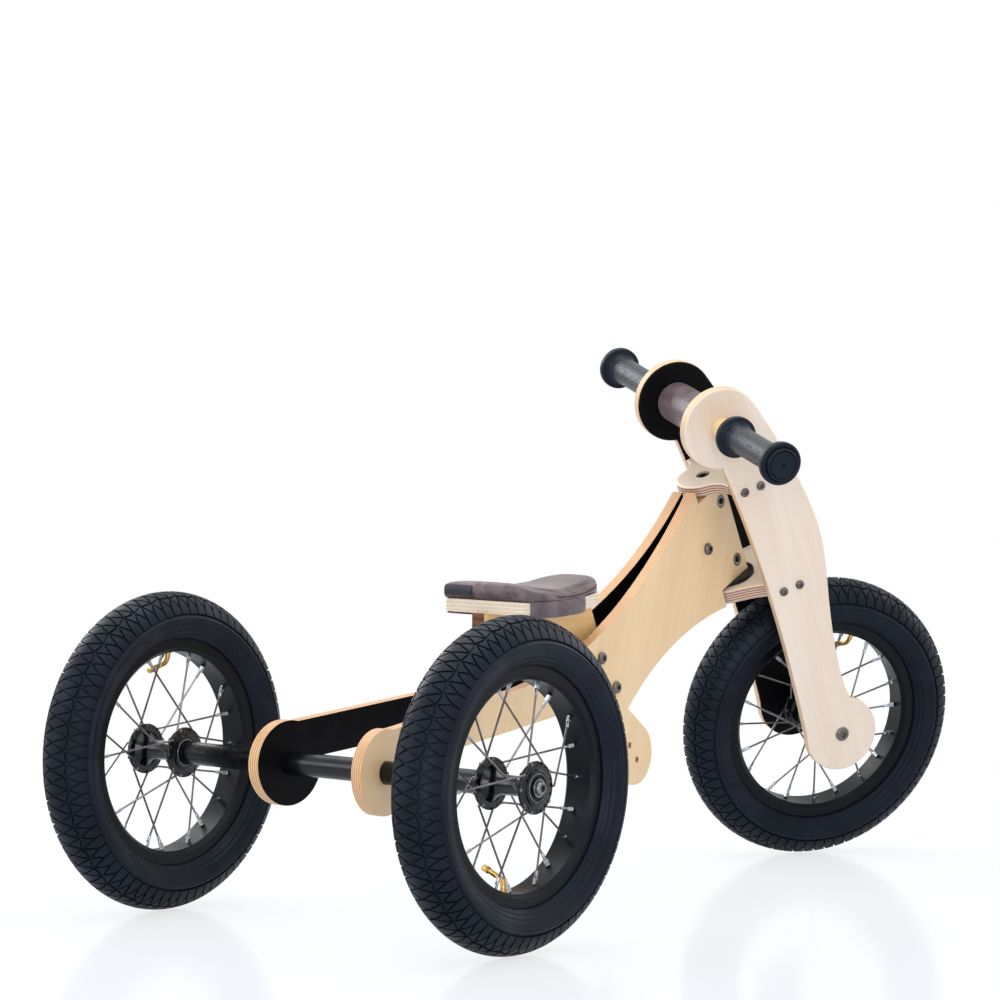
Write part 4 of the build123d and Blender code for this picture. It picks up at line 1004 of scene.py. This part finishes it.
def crease(piece):
    """Wrinkles across the dip and a drawn-in line where the top panel meets the side of the nose."""
    dip_at, dip_width, nose_at, line_at, line_width = 78, 26, 72, 0.45, 0.1
    for vertex in piece.data.vertices:
        x = vertex.co.x / MM - SEAT_REAR
        y = vertex.co.y / MM
        z = vertex.co.z / MM - SEAT_TOP
        low, high = board_top(x), arc_height(x, *PAD_TOP)
        share = (z - low) / max(high - low, 1)
        if share < 0.12:
            continue
        dip = exp(-(((x - dip_at) / dip_width) ** 2))
        spot = Vector((x * 0.05 + y * 0.012, y * 0.02, z * 0.05))
        wave = sin(x * 0.62 + 5 * noise.noise(spot)) * noise.noise(spot * 3.1)
        lift = 0.9 * dip * wave * (1 if share > 0.35 else 0.4)
        lift += 0.5 * noise.noise(Vector((x * 0.03, y * 0.03, z * 0.06)))
        nose = 1 / (1 + exp(-(x - nose_at) / 9))
        lift -= 0.8 * nose * exp(-(((share - line_at) / line_width) ** 2))
        vertex.co += vertex.normal * lift * MM


pad = pad_mesh().build("saddle_pad", [hide])
inflate(pad, 20, 2.0)
crease(pad)
swell = pad.modifiers.new("smooth", "SUBSURF")
swell.levels = swell.render_levels = 1
fit(pad, "frame", "leather", "seat_pad")


def skin_patch(name, rows, thickness, material):
    """A leather sheet of some thickness through rows of points, with its edges closed."""
    count, width = len(rows), len(rows[0])
    outer, inner = [], []
    for i in range(count):
        for k in range(width):
            a = rows[min(i + 1, count - 1)][k] - rows[max(i - 1, 0)][k]
            b = rows[i][min(k + 1, width - 1)] - rows[i][max(k - 1, 0)]
            outer.append(rows[i][k])
            inner.append(rows[i][k] - a.cross(b).normalized() * thickness)
    return Shape().add(outer + inner, slab_faces(count, width)).build(name, [material])


surface = BVHTree.FromPolygons([v.co for v in pad.data.vertices], [p.vertices for p in pad.data.polygons])


def on_pad(x, y, z, lift):
    """The point of the pad's surface nearest to a given one, lifted off it a little."""
    spot, normal, _, _ = surface.find_nearest(Vector((x, y, z)) * MM)
    return (spot + normal * lift * MM) / MM


def seam_mesh():
    """Welt sewn round the edge of the pad's top, from the dip on one side round the nose to the other."""
    start, front = 50.0, SEAT_LENGTH + PAD_GROW
    guide = []
    for step in range(61):
        x = start + (front - start) * sin(pi / 2 * step / 60)
        low, high = board_top(x), arc_height(x, *PAD_TOP)
        guide.append((SEAT_REAR + x, half_width(x, PAD_GROW) - 0.5, SEAT_TOP + low + 0.45 * (high - low)))
    guide += [(x, -y, z) for x, y, z in guide[::-1]]
    laid = [on_pad(*point, 0.1) for point in guide]
    path = []
    for i in range(len(laid)):
        near = laid[max(i - 3, 0) : i + 4]
        path.append(sum(near, Vector()) / len(near))
    return tube(Shape(), path, [0.75] * len(path))


def label_rows():
    """A bare patch on the pad's rear face, laid on its surface."""
    start, length, low, height = 12.0, 34.0, SEAT_TOP + 3.6, 9.6
    across = [start + length * i / 18 for i in range(19)]
    upward = [low + height * k / 7 for k in range(8)]
    return [[on_pad(SEAT_REAR - 1.0, y, z, 0.55) for z in upward] for y in across]


welt = seam_mesh().build("saddle_welt", [thread])
label = skin_patch("saddle_label", label_rows(), 0.9, hide_dark)
for detail in (welt, label):
    fit(detail, "frame", "leather", "seat_pad")


def flap_rows(side):
    """The side flap from under the pad, down the board's edge and in beneath it."""
    start, length, inside, fold, stand_off, depth = 9.5, 95.0, 23.5, 2.6, 1.75, 14.6
    rows = []
    for i in range(37):
        x = start + length * i / 36
        wide = half_width(x, 0) + stand_off
        top = board_top(x)
        wave = wide + 0.35 * noise.noise(Vector((x * 0.06, side, 3.0)))
        drop = depth + 0.5 * noise.noise(Vector((x * 0.05, side, 9.0)))
        line = [(wide - 2.2, top + 1.2), (wide - 0.5, top + 0.6)]
        line += [(wave + 0.1, top - 2.6), (wave + 0.2, top - 7.0), (wave, top - 10.5)]
        for step in range(1, 5):
            turn = radians(90) * step / 4
            line.append((wide - fold + fold * cos(turn), top - drop + 2.0 - 2.4 * sin(turn)))
        for share in (0.3, 0.65, 1.0):
            line.append((wide - fold + (inside - wide + fold) * share, top - drop - 0.5))
        rows.append([Vector((SEAT_REAR + x, side * y, SEAT_TOP + z)) for y, z in line])
    return rows


for side, word in SIDES:
    rows = flap_rows(side)[::side]  # the right flap's rows run the other way, so that its outside faces out
    fit(skin_patch(f"saddle_flap_{word}", rows, 1.5, hide), "frame", "leather", "seat_flaps")


# Wood and the other pieces that keep their own shape


def face_finish(node, direction, facing, cut, inner=None):
    """Faces along the thickness get the face finish, the inner side its own, and the rest the cut edge."""
    limit = 0.55  # of the cosine between a face's normal and the thickness
    mesh = nodes[node].data
    dress(mesh, facing, cut, inner or facing)
    across = [polygon.normal.dot(direction) for polygon in mesh.polygons]
    index = [0 if a > limit else 2 if a < -limit else 1 for a in across]
    mesh.polygons.foreach_set("material_index", index)
    mesh.update()


def plain_finish(material, *names):
    """One material all over each node."""
    for name in names:
        dress(nodes[name].data, material)


for side, word in SIDES:
    face_finish(f"frame_side_{word}", LEFT * side, birch_side, side_edge, black_inside)
    face_finish(f"fork_blade_{word}", fork_left * side, birch_fork, fork_edge, black_inside)
for crown in ("upper_crown", "lower_crown"):
    face_finish(crown, steer_up, birch_crown, crown_edge)
face_finish("seat_board", UP, birch_seat, seat_edge)
face_finish("seat_post", LEFT, birch_post, end_grain)
face_finish("seat_packers", LEFT, birch_post, side_edge)
plain_finish(birch_post, "head_spacer")
plain_finish(birch_dowel, "handlebar")
plain_finish(axle_black, "rear_axle_tube", "front_axle_spacers")
plain_finish(disc_black, "lower_thrust_disc")
plain_finish(steel, "upper_thrust_washer", "head_clamp_nut", "seat_post_nuts")
for wheel in WHEELS:
    plain_finish(rim_black, wheel + "_rim")
    plain_finish(tube_rubber, wheel + "_inner_tube")


# Floor, light and camera

WHITE, SKY, SKY_STRENGTH = (1, 1, 1, 1), (0.97, 0.985, 1.0, 1), 0.56
FLOOR_REACH = 14.0  # metres to each side
FLOOR_DROP = 0.0006  # keeps the floor's face off the tyres' lowest points
LAMPS = (  # name, place, what it points at, side of its square, power
    ("key", (-0.9, -1.7, 3.0), (0.0, 0, 0.2), 2.0, 23),
    ("top", (0.3, 0.4, 3.0), (0, 0, 0.2), 2.6, 52),
    ("fill", (-2.8, 1.6, 1.5), (0, 0, 0.25), 1.6, 30),
    ("front", (2.8, -0.8, 1.6), (0.2, 0, 0.3), 1.6, 14),
    ("low", (-2.9, -2.5, 0.75), (-0.1, 0, 0.2), 1.5, 38),
    ("rim", (0.4, 2.7, 1.7), (0.25, 0, 0.45), 1.5, 34),
)


def floor_material():
    """White studio floor: a faint gloss near the object that fades into plain white further out."""
    mat = Finish("floor", Base_Color=(*linear(226, 238, 255), 1), Roughness=0.13, Specular_IOR_Level=0.4)
    away = mat.add("VectorMath", {0: mat.at}, operation="LENGTH").outputs["Value"]
    share = mat.times(mat.level(away, 0.7, 1.35, 0.72, 1.0), mat.background())
    white = mat.add("Emission", {"Color": WHITE, "Strength": 1.0}).outputs[0]
    mixed = mat.add("MixShader", {0: share, 1: mat.shader.outputs[0], 2: white})
    output = next(n for n in mat.tree.nodes if n.type == "OUTPUT_MATERIAL")
    mat.tree.links.new(mixed.outputs[0], output.inputs["Surface"])
    return mat.material


def studio():
    """Floor, white surroundings and soft square lamps."""
    scene = bpy.context.scene
    mesh = bpy.data.meshes.new("floor")
    corners = [(x * FLOOR_REACH, y * FLOOR_REACH, 0) for x, y in ((-1, -1), (1, -1), (1, 1), (-1, 1))]
    mesh.from_pydata(corners, [], [(0, 1, 2, 3)])
    mesh.materials.append(floor_material())
    floor = put("floor", mesh)
    floor.location.z = -FLOOR_DROP
    scene.world = bpy.data.worlds.new("studio")
    scene.world.use_nodes = True
    sky = Nodes(scene.world.node_tree)
    sky.tree.nodes.clear()
    plain = sky.add("Background", {"Color": SKY, "Strength": SKY_STRENGTH}).outputs[0]
    white = sky.add("Background", {"Color": WHITE, "Strength": 1.0}).outputs[0]
    mixed = sky.add("MixShader", {0: sky.background(), 1: plain, 2: white}).outputs[0]
    sky.add("OutputWorld", {"Surface": mixed})
    for name, at, target, size, power in LAMPS:
        data = bpy.data.lights.new(name, "AREA")
        data.shape = "SQUARE"
        data.size = size
        data.energy = power
        lamp = put(name, data)
        lamp.location = at
        lamp.rotation_euler = (Vector(target) - Vector(at)).to_track_quat("-Z", "Y").to_euler()


def camera():
    """The photograph's view: from behind on the right, a little above the handlebar."""
    azimuth, height, roll = (radians(a) for a in (-51.17, 2.57, 0.51))
    back = Vector((sin(azimuth) * cos(height), -cos(azimuth) * cos(height), sin(height)))
    right = Vector((cos(azimuth), sin(azimuth), 0))
    up = back.cross(right)
    level = right * cos(roll) + up * sin(roll)
    upright = up * cos(roll) - right * sin(roll)
    place = Vector((-3174.6, -2454.1, 568.2)) * MM
    data = bpy.data.cameras.new("camera")
    data.lens = 145.71
    data.sensor_width = 36.0
    data.sensor_fit = "HORIZONTAL"
    data.clip_end = 100
    view = put("camera", data)
    view.matrix_world = placed(place, level, upright, back)
    bpy.context.scene.camera = view


studio()
camera()
bpy.context.scene.view_settings.view_transform = "Standard"
